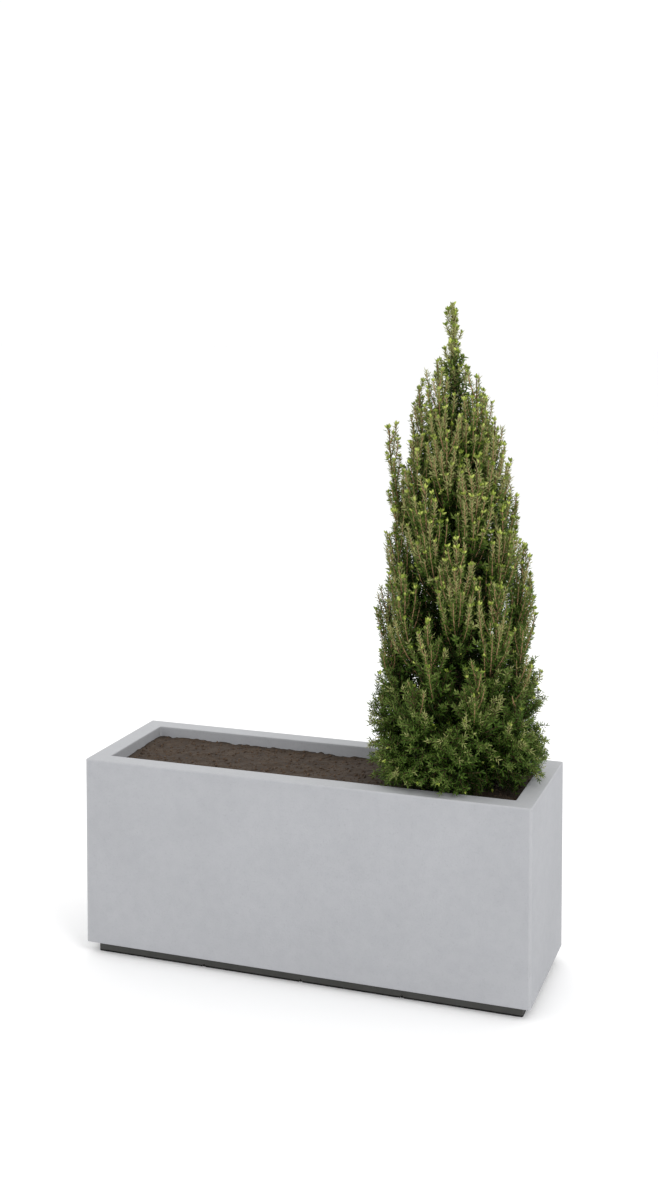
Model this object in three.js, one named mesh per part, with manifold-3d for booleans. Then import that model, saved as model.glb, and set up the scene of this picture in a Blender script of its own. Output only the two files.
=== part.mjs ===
// Dwarf spruce with a narrow cone-shaped crown, growing near the right-hand end of a long
// fibre-cement planter. The trunk runs whole from the soil to the foot of its leader. The
// foliage is a set of plumes that leave the trunk by the golden angle and turn upwards, each
// one a solid that keeps to the space nearest to its own axis.
//
// Frame: millimetres, +X along the planter to the right, +Y to the back, +Z up. The origin is
// the middle of the plinth's underside.

import * as THREE from 'three';
import { mergeVertices } from 'three/addons/utils/BufferGeometryUtils.js';
import Module from 'manifold-3d';

const wasm = await Module();
wasm.setup();

// Planter
const PLANTER_LENGTH = 1200;
const PLANTER_WIDTH = 400;
const BOX_HEIGHT = 495;
const WALL = 50;
const FLOOR = 40;
const CORNER_RADIUS = 5;
const PLINTH_HEIGHT = 30;
const PLINTH_INSET = 24;
const NOTCH_SPACING = 270;
const NOTCH_WIDTH = 12;
const NOTCH_HEIGHT = 9;
const NOTCH_DEPTH = 25;
const SOIL_BELOW_RIM = 25;
const GAP = 0.3;

const RIM = PLINTH_HEIGHT + BOX_HEIGHT;
const SOIL_TOP = RIM - SOIL_BELOW_RIM;

// Trunk
const TRUNK_X = 366;
const TRUNK_FOOT = SOIL_TOP + GAP;
const TRUNK_TOP = 1496;
const TREE_TOP = 1728;
const LEAN_X = -17;
const LEAN_Y = -6;
const LEAN_POWER = 1.3;
const TRUNK_RADIUS = 19;
const TRUNK_TOP_RADIUS = 4;
const TAPER_POWER = 0.9;
const FLARE = 12;
const FLARE_HEIGHT = 34;
const FLUTE = 0.16;
const TRUNK_SIDES = 10;
const TRUNK_RINGS = 14;
const RING_CROWDING = 1.7;

// Crown
const CROWN_RADIUS = 243;
const CROWN_FOOT = 500;
const CROWN_TOP = 1705;
const CROWN_POWER = 1.6;
const CROWN_BLUNTNESS = 0.65;
const PLUMES = 44;
const PLUMES_ON_BOUGHS = 10;
const LOWEST_TIP = 618;
const HIGHEST_TIP = 1594;
const CROWDING = 1.12;
const LOW_CROWDING = 1.25;
const GOLDEN_ANGLE = THREE.MathUtils.degToRad(137.508);
const FIRST_TURN = THREE.MathUtils.degToRad(89);
const SPIRE_TURN = THREE.MathUtils.degToRad(188);
const SPIRE_TIP = 1415;
const SPIRE_REACH = 168;
const LOWEST_FOOT = SOIL_TOP + 30;
const LOW_FEET_SPREAD = 0.3;
const RISE = 240;
const RISE_PER_REACH = 0.6;
const LOW_TIP_SHARE = 0.78;
const HIGH_TIP_SHARE = 0.98;
const TIP_JITTER = 20;
const TURN_JITTER = 0.24;
const REACH_LEAST = 0.95;
const REACH_JITTER = 0.1;
const RIM_CLEARANCE = 9;
const SOIL_CLEARANCE = 8;
const BOWL_START = 80;
const BOWL_WIDTH = 50;
const CROWN_SLACK = 4;
const SPIRE_ROOM = 1.08;

// Bends of a plume's axis: shares of its reach and of its rise
const FOOT_DEPTH = 0.6;
const ELBOW_OUT = 0.7;
const ELBOW_UP = 0.1;
const SHOULDER_UP = 0.36;

// Plume
const AXIS_STEPS = 10;
const BOUGH_RADIUS = 5.5;
const STEM_RADIUS = 3.6;
const STEM_SIDES = 4;
const STEM_TIP_RADIUS = 2;
const LIMB_STEPS = 2;
const JOINT_GAP = 1.6 * GAP;
const BOUGH_END = 0.36;
const CORE_START = 0.3;
const CORE_AFTER_STEM = 0.03;
const STEM_IN_CORE = 0.12;
const CORE_END = 0.93;
const CORE_RINGS = 6;
const CORE_SIDES = 6;
const CORE_REACH = 84;
const CORE_SHARE = 0.94;
const CORE_SIZE = 0.84;
const CORE_UNEVEN = 0.15;
const CORE_BLUNT = 0.32;
const CORE_BELLY = 0.85;
const CORE_LEAST = 4;
const SPACE_MARGIN = 3;
const MARCH_STEP = 2;

// Shoots and their needles, which are larger than life and stand for a spray each
const SHOOTS = 5;
const SHOOT_LENGTHS = [132, 112, 94, 78, 62];
const SHOOT_RADIUS = 8;
const SHOOT_ROOT = 12;
const SHOOT_SPREAD = THREE.MathUtils.degToRad(115);
const SHOOT_STRIDE = 0.618;
const SHOOT_AFTER_CORE = 0.06;
const LAST_SHOOT = 0.86;
const ALONG = 0.7;
const OUTWARDS = 0.6;
const UPWARDS = 0.55;
const FIT_STATIONS = [0.45, 0.7, 0.85, 1];
const TIP_SHOOT_START = 0.76;
const TIP_SHOOT_SHARES = [1, 0.9, 0.8];
const NEEDLES = 3;
const FIRST_NEEDLE = 0.2;
const NEEDLE_SPAN = 0.68;
const NEEDLE_OUT = 15;
const NEEDLE_UP = 18;

// Leader
const LEADER_RADII = [5, 12, 12, 9, 6];
const LEADER_SHOOTS = 8;
const LEADER_FIRST_SHOOT = 0.14;
const LEADER_SHOOT_SPAN = 0.72;
const LEADER_SHOOT_OUT = 0.5;
const LEADER_SHOOT_LENGTH = 66;
const LEADER_SHORTENING = 26;
const LEADER_SHORT_SHARE = 0.7;

const UP = new THREE.Vector3(0, 0, 1);

// Repeatable noise between 0 and 1 for the pair of numbers n, k
function noise(n, k) {
  const s = Math.sin(n * 127.1 + k * 311.7) * 43758.5453;
  return s - Math.floor(s);
}

// Closed solid, for joins and cuts, from a closed geometry
function toSolid(geometry) {
  const bare = geometry.clone();
  bare.deleteAttribute('normal');
  bare.deleteAttribute('uv');
  const merged = mergeVertices(bare);
  const vertProperties = Float32Array.from(merged.attributes.position.array);
  const triVerts = Uint32Array.from(merged.index.array);
  return new wasm.Manifold(new wasm.Mesh({ numProp: 3, vertProperties, triVerts }));
}

// Geometry to show, from a solid
function toGeometry(solid) {
  const mesh = solid.getMesh();
  const geometry = new THREE.BufferGeometry();
  geometry.setAttribute('position', new THREE.BufferAttribute(mesh.vertProperties, 3));
  geometry.setIndex(new THREE.BufferAttribute(mesh.triVerts, 1));
  geometry.computeVertexNormals();
  return geometry;
}

// The largest body of a solid: loose scraps are dropped and sealed hollows are filled
function mainBody(solid) {
  const bodies = solid.decompose();
  return bodies.reduce((best, body) => (body.volume() > best.volume() ? body : best));
}

// Closed skin over rings of equal counts of points, drawn to a point or a flat end at each side
function skin(foot, rings, tip) {
  const sides = rings[0].length;
  const points = [foot, ...rings.flat(), tip];
  const last = points.length - 1;
  const index = [];
  for (let k = 0; k < sides; k += 1) {
    const next = (k + 1) % sides;
    index.push(0, 1 + next, 1 + k);
    for (let r = 0; r + 1 < rings.length; r += 1) {
      const low = 1 + r * sides;
      const high = low + sides;
      index.push(low + k, low + next, high + next);
      index.push(low + k, high + next, high + k);
    }
    const top = last - sides;
    index.push(top + k, top + next, last);
  }
  const geometry = new THREE.BufferGeometry().setFromPoints(points);
  geometry.setIndex(signedVolume(points, index) > 0 ? index : index.reverse());
  return geometry;
}

// Volume inside a closed skin, below zero where its faces point inwards
function signedVolume(points, index) {
  let volume = 0;
  for (let k = 0; k < index.length; k += 3) {
    const a = points[index[k]];
    const b = points[index[k + 1]];
    const c = points[index[k + 2]];
    volume += a.dot(b.clone().cross(c)) / 6;
  }
  return volume;
}

// Two directions square to a direction, the first as near to the given one as can be
function crossFrame(direction, near) {
  const first = near.clone().addScaledVector(direction, -near.dot(direction)).normalize();
  return [first, direction.clone().cross(first)];
}

// Points of a regular polygon round a centre, in the plane of two directions
function ring(centre, radius, sides, [first, second], turn = 0) {
  return Array.from({ length: sides }, (_, k) => {
    const angle = turn + (2 * Math.PI * k) / sides;
    return centre
      .clone()
      .addScaledVector(first, radius * Math.cos(angle))
      .addScaledVector(second, radius * Math.sin(angle));
  });
}

// Outline with rounded corners, and a slab of that outline between two heights
function roundedRectangle(length, width, radius) {
  const x = length / 2;
  const y = width / 2;
  const shape = new THREE.Shape();
  shape.moveTo(-x + radius, -y);
  shape.lineTo(x - radius, -y);
  shape.absarc(x - radius, -y + radius, radius, -Math.PI / 2, 0);
  shape.lineTo(x, y - radius);
  shape.absarc(x - radius, y - radius, radius, 0, Math.PI / 2);
  shape.lineTo(-x + radius, y);
  shape.absarc(-x + radius, y - radius, radius, Math.PI / 2, Math.PI);
  shape.lineTo(-x, -y + radius);
  shape.absarc(-x + radius, -y + radius, radius, Math.PI, 1.5 * Math.PI);
  return shape;
}

function slab(length, width, radius, low, high) {
  const outline = roundedRectangle(length, width, radius);
  const settings = { depth: high - low, bevelEnabled: false, curveSegments: 3 };
  return new THREE.ExtrudeGeometry(outline, settings).translate(0, 0, low);
}

// Planter: an open box with thick walls, on a dark plinth set back under it
function makePlanter() {
  const outside = toSolid(slab(PLANTER_LENGTH, PLANTER_WIDTH, CORNER_RADIUS, PLINTH_HEIGHT, RIM));
  const inner = [PLANTER_LENGTH - 2 * WALL, PLANTER_WIDTH - 2 * WALL];
  const hollow = toSolid(slab(...inner, CORNER_RADIUS, PLINTH_HEIGHT + FLOOR, RIM + WALL));
  return toGeometry(outside.subtract(hollow));
}

// Plinth: a slab with a small peaked notch in its lower edge at each drain
function makePlinth() {
  const length = PLANTER_LENGTH - 2 * PLINTH_INSET;
  const width = PLANTER_WIDTH - 2 * PLINTH_INSET;
  let plinth = toSolid(slab(length, width, CORNER_RADIUS, 0, PLINTH_HEIGHT - GAP));
  const notch = new THREE.Shape();
  notch.moveTo(-NOTCH_WIDTH / 2, -1);
  notch.lineTo(NOTCH_WIDTH / 2, -1);
  notch.lineTo(0, NOTCH_HEIGHT);
  const cut = new THREE.ExtrudeGeometry(notch, { depth: 2 * NOTCH_DEPTH, bevelEnabled: false });
  cut.rotateX(Math.PI / 2).translate(0, NOTCH_DEPTH, 0);
  for (const x of [-NOTCH_SPACING, 0, NOTCH_SPACING]) {
    for (const y of [-width / 2, width / 2]) {
      plinth = plinth.subtract(toSolid(cut.clone().translate(x, y, 0)));
    }
  }
  return toGeometry(plinth);
}

// Soil: fills the planter's inside to a little below its rim
function makeSoil() {
  const length = PLANTER_LENGTH - 2 * WALL - 2 * GAP;
  const width = PLANTER_WIDTH - 2 * WALL - 2 * GAP;
  return slab(length, width, CORNER_RADIUS, PLINTH_HEIGHT + FLOOR + GAP, SOIL_TOP);
}

// Middle of the trunk at a height: it leans a little more towards its tip
function trunkPoint(z) {
  const share = Math.max(0, (z - TRUNK_FOOT) / (TREE_TOP - TRUNK_FOOT)) ** LEAN_POWER;
  return new THREE.Vector3(TRUNK_X + LEAN_X * share, LEAN_Y * share, z);
}

// Half-thickness of the trunk at a height: an even taper with a flare at the soil
function trunkRadius(z) {
  const share = Math.min(1, Math.max(0, (z - TRUNK_FOOT) / (TRUNK_TOP - TRUNK_FOOT)));
  const taper = TRUNK_TOP_RADIUS + (TRUNK_RADIUS - TRUNK_TOP_RADIUS) * (1 - share) ** TAPER_POWER;
  return taper + FLARE * Math.exp(-(z - TRUNK_FOOT) / FLARE_HEIGHT);
}

// Skin of the trunk, thicker by an extra amount: its foot is fluted where roots start
function trunkSkin(extra) {
  const rings = [];
  for (let r = 0; r < TRUNK_RINGS; r += 1) {
    const z = TRUNK_FOOT + (TRUNK_TOP - TRUNK_FOOT) * (r / (TRUNK_RINGS - 1)) ** RING_CROWDING;
    const flute = FLUTE * Math.exp(-(z - TRUNK_FOOT) / FLARE_HEIGHT);
    const frame = crossFrame(UP, new THREE.Vector3(1, 0, 0));
    const outline = ring(trunkPoint(z), trunkRadius(z) + extra, TRUNK_SIDES, frame);
    rings.push(outline.map((point, k) => point.lerp(trunkPoint(z), k % 2 ? flute : 0)));
  }
  return skin(trunkPoint(TRUNK_FOOT), rings, trunkPoint(TRUNK_TOP));
}

// The trunk's own space, which every limb and plume is cut clear of. It is a little more than
// the gap wider than the trunk, because its flat faces come nearer than its corners.
const TRUNK_CLEARANCE = 1.3 * GAP;
const trunkSpace = toSolid(trunkSkin(TRUNK_CLEARANCE));

// Half-width of the crown at a height
function crownRadius(z) {
  const t = Math.min(1, Math.max(0, (z - CROWN_FOOT) / (CROWN_TOP - CROWN_FOOT)));
  return CROWN_RADIUS * (1 - t ** CROWN_POWER) ** CROWN_BLUNTNESS;
}

// Lowest height that foliage takes: over the rim far from the trunk, near the soil beside it
function lowestFoliage(point) {
  const middle = trunkPoint(point.z);
  const out = Math.hypot(point.x - middle.x, point.y - middle.y);
  const bowl = THREE.MathUtils.clamp((out - BOWL_START) / BOWL_WIDTH, 0, 1);
  return THREE.MathUtils.lerp(SOIL_TOP + SOIL_CLEARANCE, RIM + RIM_CLEARANCE, bowl);
}

// Axis of a plume: it leaves the trunk outwards, bends up and climbs to its tip
function plumeAxis(turn, tipHeight, reach) {
  const across = new THREE.Vector3(Math.cos(turn), Math.sin(turn), 0);
  const lowest = LOWEST_FOOT + LOW_FEET_SPREAD * (tipHeight - LOWEST_TIP);
  const footHeight = Math.max(lowest, tipHeight - RISE - RISE_PER_REACH * reach);
  const at = (out, up) => {
    const z = THREE.MathUtils.lerp(footHeight, tipHeight, up);
    return trunkPoint(z).addScaledVector(across, out);
  };
  const foot = at(FOOT_DEPTH * trunkRadius(footHeight), 0);
  const elbow = at(ELBOW_OUT * reach, ELBOW_UP);
  const shoulder = at(reach, SHOULDER_UP);
  const curve = new THREE.CubicBezierCurve3(foot, elbow, shoulder, at(reach, 1));
  return { curve, across, points: curve.getPoints(AXIS_STEPS) };
}

// How much of the crown's half-width a plume's tip reaches: all of it only near the top
function tipShare(height) {
  const t = (height - CROWN_FOOT) / (CROWN_TOP - CROWN_FOOT);
  return THREE.MathUtils.lerp(LOW_TIP_SHARE, HIGH_TIP_SHARE, t);
}

// Axes of all plumes from the lowest up, then that of the spire at the side, then the leader's
function plumeAxes() {
  const axes = [];
  for (let i = 0; i < PLUMES; i += 1) {
    const u = (i + 0.5) / PLUMES;
    const spread = (HIGHEST_TIP - LOWEST_TIP) * (1 - (1 - u) ** CROWDING) ** LOW_CROWDING;
    const tipHeight = LOWEST_TIP + spread + TIP_JITTER * (noise(i, 1) - 0.5);
    const turn = FIRST_TURN + i * GOLDEN_ANGLE + TURN_JITTER * (noise(i, 2) - 0.5);
    const fullness = REACH_LEAST + REACH_JITTER * noise(i, 3);
    const reach = crownRadius(tipHeight) * tipShare(tipHeight) * fullness;
    axes.push(plumeAxis(turn, tipHeight, reach));
  }
  axes.push(plumeAxis(SPIRE_TURN, SPIRE_TIP, SPIRE_REACH));
  const leader = new THREE.LineCurve3(trunkPoint(TRUNK_TOP + GAP), trunkPoint(TREE_TOP));
  const across = new THREE.Vector3(1, 0, 0);
  axes.push({ curve: leader, across, points: leader.getPoints(AXIS_STEPS) });
  return axes;
}

const axes = plumeAxes();
const segment = new THREE.Line3();
const nearest = new THREE.Vector3();

// Distance from a point to an axis, taken as straight between its points
function distanceToAxis(point, points) {
  let best = Infinity;
  for (let k = 0; k + 1 < points.length; k += 1) {
    segment.set(points[k], points[k + 1]).closestPointToPoint(point, true, nearest);
    best = Math.min(best, nearest.distanceToSquared(point));
  }
  return Math.sqrt(best);
}

// Whether a point lies in a plume's own space, by at least a margin: inside the crown, outside
// the trunk, and nearer to this axis than to any other
function inOwnSpace(point, own, margin, room = 1) {
  if (point.z < lowestFoliage(point) + margin || point.z > TREE_TOP) {
    return false;
  }
  const middle = trunkPoint(point.z);
  const out = Math.hypot(point.x - middle.x, point.y - middle.y);
  if (own !== axes.length - 1) {
    const spire = own === PLUMES ? SPIRE_REACH * SPIRE_ROOM : 0;
    const furthest = Math.max(crownRadius(point.z) + CROWN_SLACK, spire) * room;
    if (out > furthest || out < trunkRadius(point.z) + margin) {
      return false;
    }
  }
  const distance = distanceToAxis(point, axes[own].points) + 2 * margin;
  return axes.every((axis, k) => k === own || distanceToAxis(point, axis.points) > distance);
}

// How far a plume's space reaches from a point on its axis, along a direction
function reachAlong(centre, direction, own) {
  let out = CORE_LEAST;
  const probe = centre.clone().addScaledVector(direction, out);
  while (out < CORE_REACH && inOwnSpace(probe, own, SPACE_MARGIN, CORE_SHARE)) {
    out += MARCH_STEP;
    probe.copy(centre).addScaledVector(direction, out);
  }
  return out - MARCH_STEP;
}

// Core of a plume: rings round its axis, each corner pushed out as far as the space allows
function plumeCore(own, start) {
  const { curve, across } = axes[own];
  const sideways = new THREE.Vector3().crossVectors(UP, across);
  const rings = [];
  for (let r = 0; r < CORE_RINGS; r += 1) {
    const share = (r + 0.6) / (CORE_RINGS + 0.2);
    const s = THREE.MathUtils.lerp(start, CORE_END, share);
    const centre = curve.getPoint(s);
    const frame = crossFrame(curve.getTangent(s), sideways);
    const swell = Math.sin(Math.PI * share ** CORE_BELLY) ** CORE_BLUNT;
    const directions = ring(new THREE.Vector3(), 1, CORE_SIDES, frame, Math.PI / CORE_SIDES);
    rings.push(directions.map((direction, k) => {
      const uneven = 1 - CORE_UNEVEN + CORE_UNEVEN * noise(own * 50 + r, k);
      const size = reachAlong(centre, direction, own) * CORE_SIZE * swell * uneven;
      return centre.clone().addScaledVector(direction, Math.max(CORE_LEAST, size));
    }));
  }
  return skin(curve.getPoint(start), rings, curve.getPoint(CORE_END));
}

// Tapering limb along a stretch of a plume's axis
function limb({ curve, across }, from, to, radiusFrom, radiusTo, sides) {
  const sideways = new THREE.Vector3().crossVectors(UP, across);
  const rings = [];
  for (let k = 0; k <= LIMB_STEPS; k += 1) {
    const s = THREE.MathUtils.lerp(from, to, k / LIMB_STEPS);
    const radius = THREE.MathUtils.lerp(radiusFrom, radiusTo, k / LIMB_STEPS);
    rings.push(ring(curve.getPoint(s), radius, sides, crossFrame(curve.getTangent(s), sideways)));
  }
  return skin(curve.getPoint(from), rings, curve.getPoint(to));
}

// Shoot with its needles: a three-sided spindle with one corner of each ring drawn out and up,
// where the plume's space has room for that needle
function thornyShoot(root, direction, length, own, seed) {
  const near = Math.abs(direction.z) > 0.9 ? new THREE.Vector3(1, 0, 0) : UP;
  const frame = crossFrame(direction, near);
  const rings = [ring(root, SHOOT_RADIUS * 0.7, 3, frame)];
  for (let k = 1; k <= NEEDLES; k += 1) {
    const share = (FIRST_NEEDLE + NEEDLE_SPAN * (k / NEEDLES)) * length;
    const centre = root.clone().addScaledVector(direction, share);
    const outline = ring(centre, SHOOT_RADIUS * (1.1 - (0.5 * k) / NEEDLES), 3, frame);
    const corner = outline[(k + seed) % 3];
    const outwards = corner.clone().sub(centre).normalize();
    const tip = corner.clone().addScaledVector(outwards, NEEDLE_OUT).addScaledVector(direction, NEEDLE_UP);
    if (inOwnSpace(tip, own, SPACE_MARGIN)) {
      corner.copy(tip);
    }
    rings.push(outline);
  }
  return skin(root, rings, root.clone().addScaledVector(direction, length));
}

// Whether a shoot keeps to its plume's space, tried at stations along it
function shootFits(root, direction, length, own) {
  return FIT_STATIONS.every((share) => {
    const margin = SPACE_MARGIN + (1 - share) * SHOOT_RADIUS;
    return inOwnSpace(root.clone().addScaledVector(direction, length * share), own, margin);
  });
}

// The longest shoot that fits its plume's space, or nothing where none does
function shoot(root, direction, lengths, own, seed) {
  const length = lengths.find((candidate) => shootFits(root, direction, candidate, own));
  return length ? [toSolid(thornyShoot(root, direction, length, own, seed))] : [];
}

// Shoots of a plume: one at its tip, the others on the sides that don't face the trunk
function plumeShoots(own, start) {
  const { curve, across } = axes[own];
  const sideways = new THREE.Vector3().crossVectors(UP, across);
  const top = curve.getPoint(TIP_SHOOT_START);
  const span = curve.getPoint(1).distanceTo(top);
  const tipLengths = TIP_SHOOT_SHARES.map((share) => span * share);
  const solids = shoot(top, curve.getTangent(1), tipLengths, own, own);
  for (let k = 0; k < SHOOTS; k += 1) {
    const s = THREE.MathUtils.lerp(start + SHOOT_AFTER_CORE, LAST_SHOOT, (k + 0.5) / SHOOTS);
    const tangent = curve.getTangent(s);
    const spread = ((k * SHOOT_STRIDE + noise(own, 9)) % 1) * 2 - 1;
    const frame = crossFrame(tangent, sideways);
    const [outwards] = ring(new THREE.Vector3(), 1, 1, frame, SHOOT_SPREAD * spread - Math.PI / 2);
    const direction = tangent.clone().multiplyScalar(ALONG).addScaledVector(outwards, OUTWARDS);
    direction.addScaledVector(UP, UPWARDS).normalize();
    const root = curve.getPoint(s).addScaledVector(outwards, SHOOT_ROOT);
    solids.push(...shoot(root, direction, SHOOT_LENGTHS, own, k + own));
  }
  return solids;
}

// Plume: a stem, a core round its axis and the shoots that stand out of it
function makePlume(own, stemFrom) {
  const coreStart = Math.max(CORE_START, stemFrom + CORE_AFTER_STEM);
  const stemEnd = coreStart + STEM_IN_CORE;
  const stem = limb(axes[own], stemFrom, stemEnd, STEM_RADIUS, STEM_TIP_RADIUS, STEM_SIDES);
  const solids = [toSolid(stem), toSolid(plumeCore(own, coreStart)), ...plumeShoots(own, coreStart)];
  const plume = solids.reduce((whole, piece) => whole.add(piece));
  return toGeometry(mainBody(plume.subtract(trunkSpace)));
}

// Bough: the tapering limb that carries one of the lowest plumes
function makeBough(own) {
  const bough = limb(axes[own], 0, BOUGH_END, BOUGH_RADIUS, STEM_RADIUS, STEM_SIDES + 1);
  return toGeometry(mainBody(toSolid(bough).subtract(trunkSpace)));
}

// Leader: a slender upright shoot with short side shoots that thin out towards its tip
function makeLeader() {
  const own = axes.length - 1;
  const { curve } = axes[own];
  const frame = crossFrame(curve.getTangent(0), new THREE.Vector3(1, 0, 0));
  const rings = LEADER_RADII.map((radius, k) => {
    const share = k / LEADER_RADII.length;
    return ring(curve.getPoint(share), radius, CORE_SIDES, frame, k);
  });
  let leader = toSolid(skin(curve.getPoint(0), rings, curve.getPoint(1)));
  for (let k = 0; k < LEADER_SHOOTS; k += 1) {
    const s = LEADER_FIRST_SHOOT + (LEADER_SHOOT_SPAN * k) / LEADER_SHOOTS;
    const [outwards] = ring(new THREE.Vector3(), 1, 1, frame, k * GOLDEN_ANGLE);
    const direction = outwards.clone().multiplyScalar(LEADER_SHOOT_OUT).add(UP).normalize();
    const longest = LEADER_SHOOT_LENGTH - LEADER_SHORTENING * s;
    const lengths = [longest, longest * LEADER_SHORT_SHARE];
    for (const piece of shoot(curve.getPoint(s), direction, lengths, own, k)) {
      leader = leader.add(piece);
    }
  }
  return toGeometry(mainBody(leader));
}

// Colours and roughness of the real surfaces, none of them metal
function finish(color, roughness) {
  return new THREE.MeshStandardMaterial({ color, roughness, metalness: 0, flatShading: true });
}

const tree = new THREE.Group();

function place(name, geometry, material) {
  const mesh = new THREE.Mesh(geometry, material);
  mesh.name = name;
  tree.add(mesh);
}

// Planter first, then the trunk, then each plume with the bough that carries it
place('planter', makePlanter(), finish(0xb4b6b8, 0.85));
place('plinth', makePlinth(), finish(0x3c3d3b, 0.8));
place('soil', makeSoil(), finish(0x33261c, 1));
place('trunk', trunkSkin(0), finish(0x6d5140, 0.9));

const twoDigits = (number) => String(number).padStart(2, '0');

for (let i = 0; i < PLUMES + 1; i += 1) {
  const onBough = i < PLUMES_ON_BOUGHS;
  if (onBough) {
    place(`bough_${twoDigits(i + 1)}`, makeBough(i), finish(0x7a563c, 0.9));
  }
  const stemFrom = onBough ? BOUGH_END + JOINT_GAP / axes[i].curve.getLength() : 0;
  const green = finish(i % 3 ? 0x3f5a34 : 0x4c6a38, 0.75);
  place(`plume_${twoDigits(i + 1)}`, makePlume(i, stemFrom), green);
}
place('leader', makeLeader(), finish(0x5a7a3a, 0.75));

export default tree;
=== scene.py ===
# %% [markdown]
# A dwarf spruce in a long planter
#
# The real object is a slow-growing spruce about 1.2 m tall, planted near one end of a box of
# pale fibre-cement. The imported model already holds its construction: planter, plinth, soil,
# trunk, ten low boughs and a mass of foliage for each plume. This lesson dresses that frame.
# Every surface is worked out with numpy, and the crown grows by the same rule as the solids,
# carried on to finer twigs, needles and buds.

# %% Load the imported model
import math

import bpy
import numpy as np
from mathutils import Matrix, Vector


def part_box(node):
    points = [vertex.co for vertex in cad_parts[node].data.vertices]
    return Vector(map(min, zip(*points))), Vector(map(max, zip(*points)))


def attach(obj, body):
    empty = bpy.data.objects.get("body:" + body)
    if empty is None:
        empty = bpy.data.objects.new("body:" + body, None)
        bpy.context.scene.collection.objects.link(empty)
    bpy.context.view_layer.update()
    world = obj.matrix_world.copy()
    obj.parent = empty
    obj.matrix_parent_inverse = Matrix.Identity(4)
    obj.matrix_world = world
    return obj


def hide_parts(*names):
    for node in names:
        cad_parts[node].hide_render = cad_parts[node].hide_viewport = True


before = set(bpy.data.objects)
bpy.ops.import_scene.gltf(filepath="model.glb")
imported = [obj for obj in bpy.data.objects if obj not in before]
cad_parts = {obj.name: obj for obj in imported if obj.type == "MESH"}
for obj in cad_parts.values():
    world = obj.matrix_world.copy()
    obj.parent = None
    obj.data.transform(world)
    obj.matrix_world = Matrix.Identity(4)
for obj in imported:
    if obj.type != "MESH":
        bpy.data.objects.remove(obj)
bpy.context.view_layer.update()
print(len(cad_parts), "nodes in the frame")

# %% [markdown]
# Sizes in metres
#
# The frame gives the boxes of the planter, the plinth, the soil and the trunk, so most sizes
# are read from it. What a box can't tell, such as how the plumes bend, is repeated here from
# the model's own driving dimensions.

# %% Boxes read from the frame
MM = 0.001
GAP = 0.3 * MM
BOXED = ("planter", "plinth", "soil", "trunk", "leader")
lowest, highest = ({name: np.array(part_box(name)[end]) for name in BOXED} for end in (0, 1))
planter_low, planter_high = lowest["planter"], highest["planter"]
soil_low, soil_high = lowest["soil"], highest["soil"]
RIM = planter_high[2]
SOIL_TOP = soil_high[2]
print(f"rim at {RIM:.3f} m, soil at {SOIL_TOP:.3f} m, tip at {highest['leader'][2]:.3f} m")

# %% [markdown]
# Small helpers
#
# A mesh is only points and faces. `new_piece` hands whole numpy arrays to Blender with
# foreach_set, which is quick even for more than a hundred thousand needles. `dress` says what
# every piece needs: a material, the body it rides on and the nodes it replaces. Planter, tubes
# and buds are all stacks of rings, so they share their faces' pattern.

# %% Mesh helpers
made = []


def new_piece(name, points, faces, smooth=True, attributes=None):
    """Points (n, 3) and faces (m, 3) or (m, 4) become one mesh object at the origin."""
    mesh = bpy.data.meshes.new(name)
    corners = faces.shape[1]
    mesh.vertices.add(len(points))
    mesh.vertices.foreach_set("co", np.asarray(points, np.float32).ravel())
    mesh.loops.add(faces.size)
    mesh.polygons.add(len(faces))
    mesh.polygons.foreach_set("loop_start", np.arange(0, faces.size, corners, dtype=np.int32))
    mesh.polygons.foreach_set("vertices", np.asarray(faces, np.int32).ravel())
    mesh.update(calc_edges=True)
    for label, values in (attributes or {}).items():
        layer = mesh.attributes.new(label, "FLOAT", "POINT")
        layer.data.foreach_set("value", np.asarray(values, np.float32).ravel())
    mesh.polygons.foreach_set("use_smooth", np.full(len(faces), smooth))
    piece = bpy.data.objects.new(name, mesh)
    bpy.context.scene.collection.objects.link(piece)
    made.append(len(faces) * (corners - 2))
    print(name, "has", made[-1], "triangles")
    return piece


def dress(piece, material, replaced=()):
    """Material and body for a finished piece, and the CAD nodes it stands for."""
    piece.data.materials.append(material)
    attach(piece, "root")
    if replaced:
        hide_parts(*replaced)


def triangles(quads):
    """Each quad as two triangles, so that grids and caps share one array."""
    return np.concatenate([quads[:, [0, 1, 2]], quads[:, [0, 2, 3]]])


def fan(ring, pole, flip=False):
    """Triangles from a closed ring of point numbers to one pole."""
    beside = np.roll(ring, -1)
    corners = [beside, ring] if flip else [ring, beside]
    return np.stack([*corners, np.full(len(ring), pole)], -1)


def sheet(number):
    """Triangles of a sheet whose points are numbered by rows and columns."""
    quads = np.stack([number[:-1, :-1], number[:-1, 1:], number[1:, 1:], number[1:, :-1]], -1)
    return triangles(quads.reshape(-1, 4))


def ring_faces(rings, sides):
    """Triangles of a stack of closed rings, from a pole under the first ring to a pole over the
    last. The two poles are the points that follow the rings."""
    number = np.arange(rings * sides).reshape(rings, sides)
    ends = fan(number[0], number.size, flip=True), fan(number[-1], number.size + 1)
    return np.concatenate([sheet(np.column_stack([number, number[:, 0]])), *ends])


def joined(points, faces):
    """Shapes of one make (n, m, 3) as one mesh: the faces of one shape, or of each, are numbered
    on from shape to shape."""
    shift = points.shape[1] * np.arange(len(points))[:, None, None]
    return points.reshape(-1, 3), (faces + shift).reshape(-1, 3)


# %% Number helpers
def scrambled(angle):
    """The fractional part of 43758.5453 sin(angle)."""
    s = np.sin(angle) * 43758.5453
    return s - np.floor(s)


def noise(n, k):
    """Repeatable noise from 0 to 1 for number n of series k, scrambled from 127.1 n + 311.7 k."""
    return scrambled(np.asarray(n, float) * 127.1 + np.asarray(k, float) * 311.7)


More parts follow.
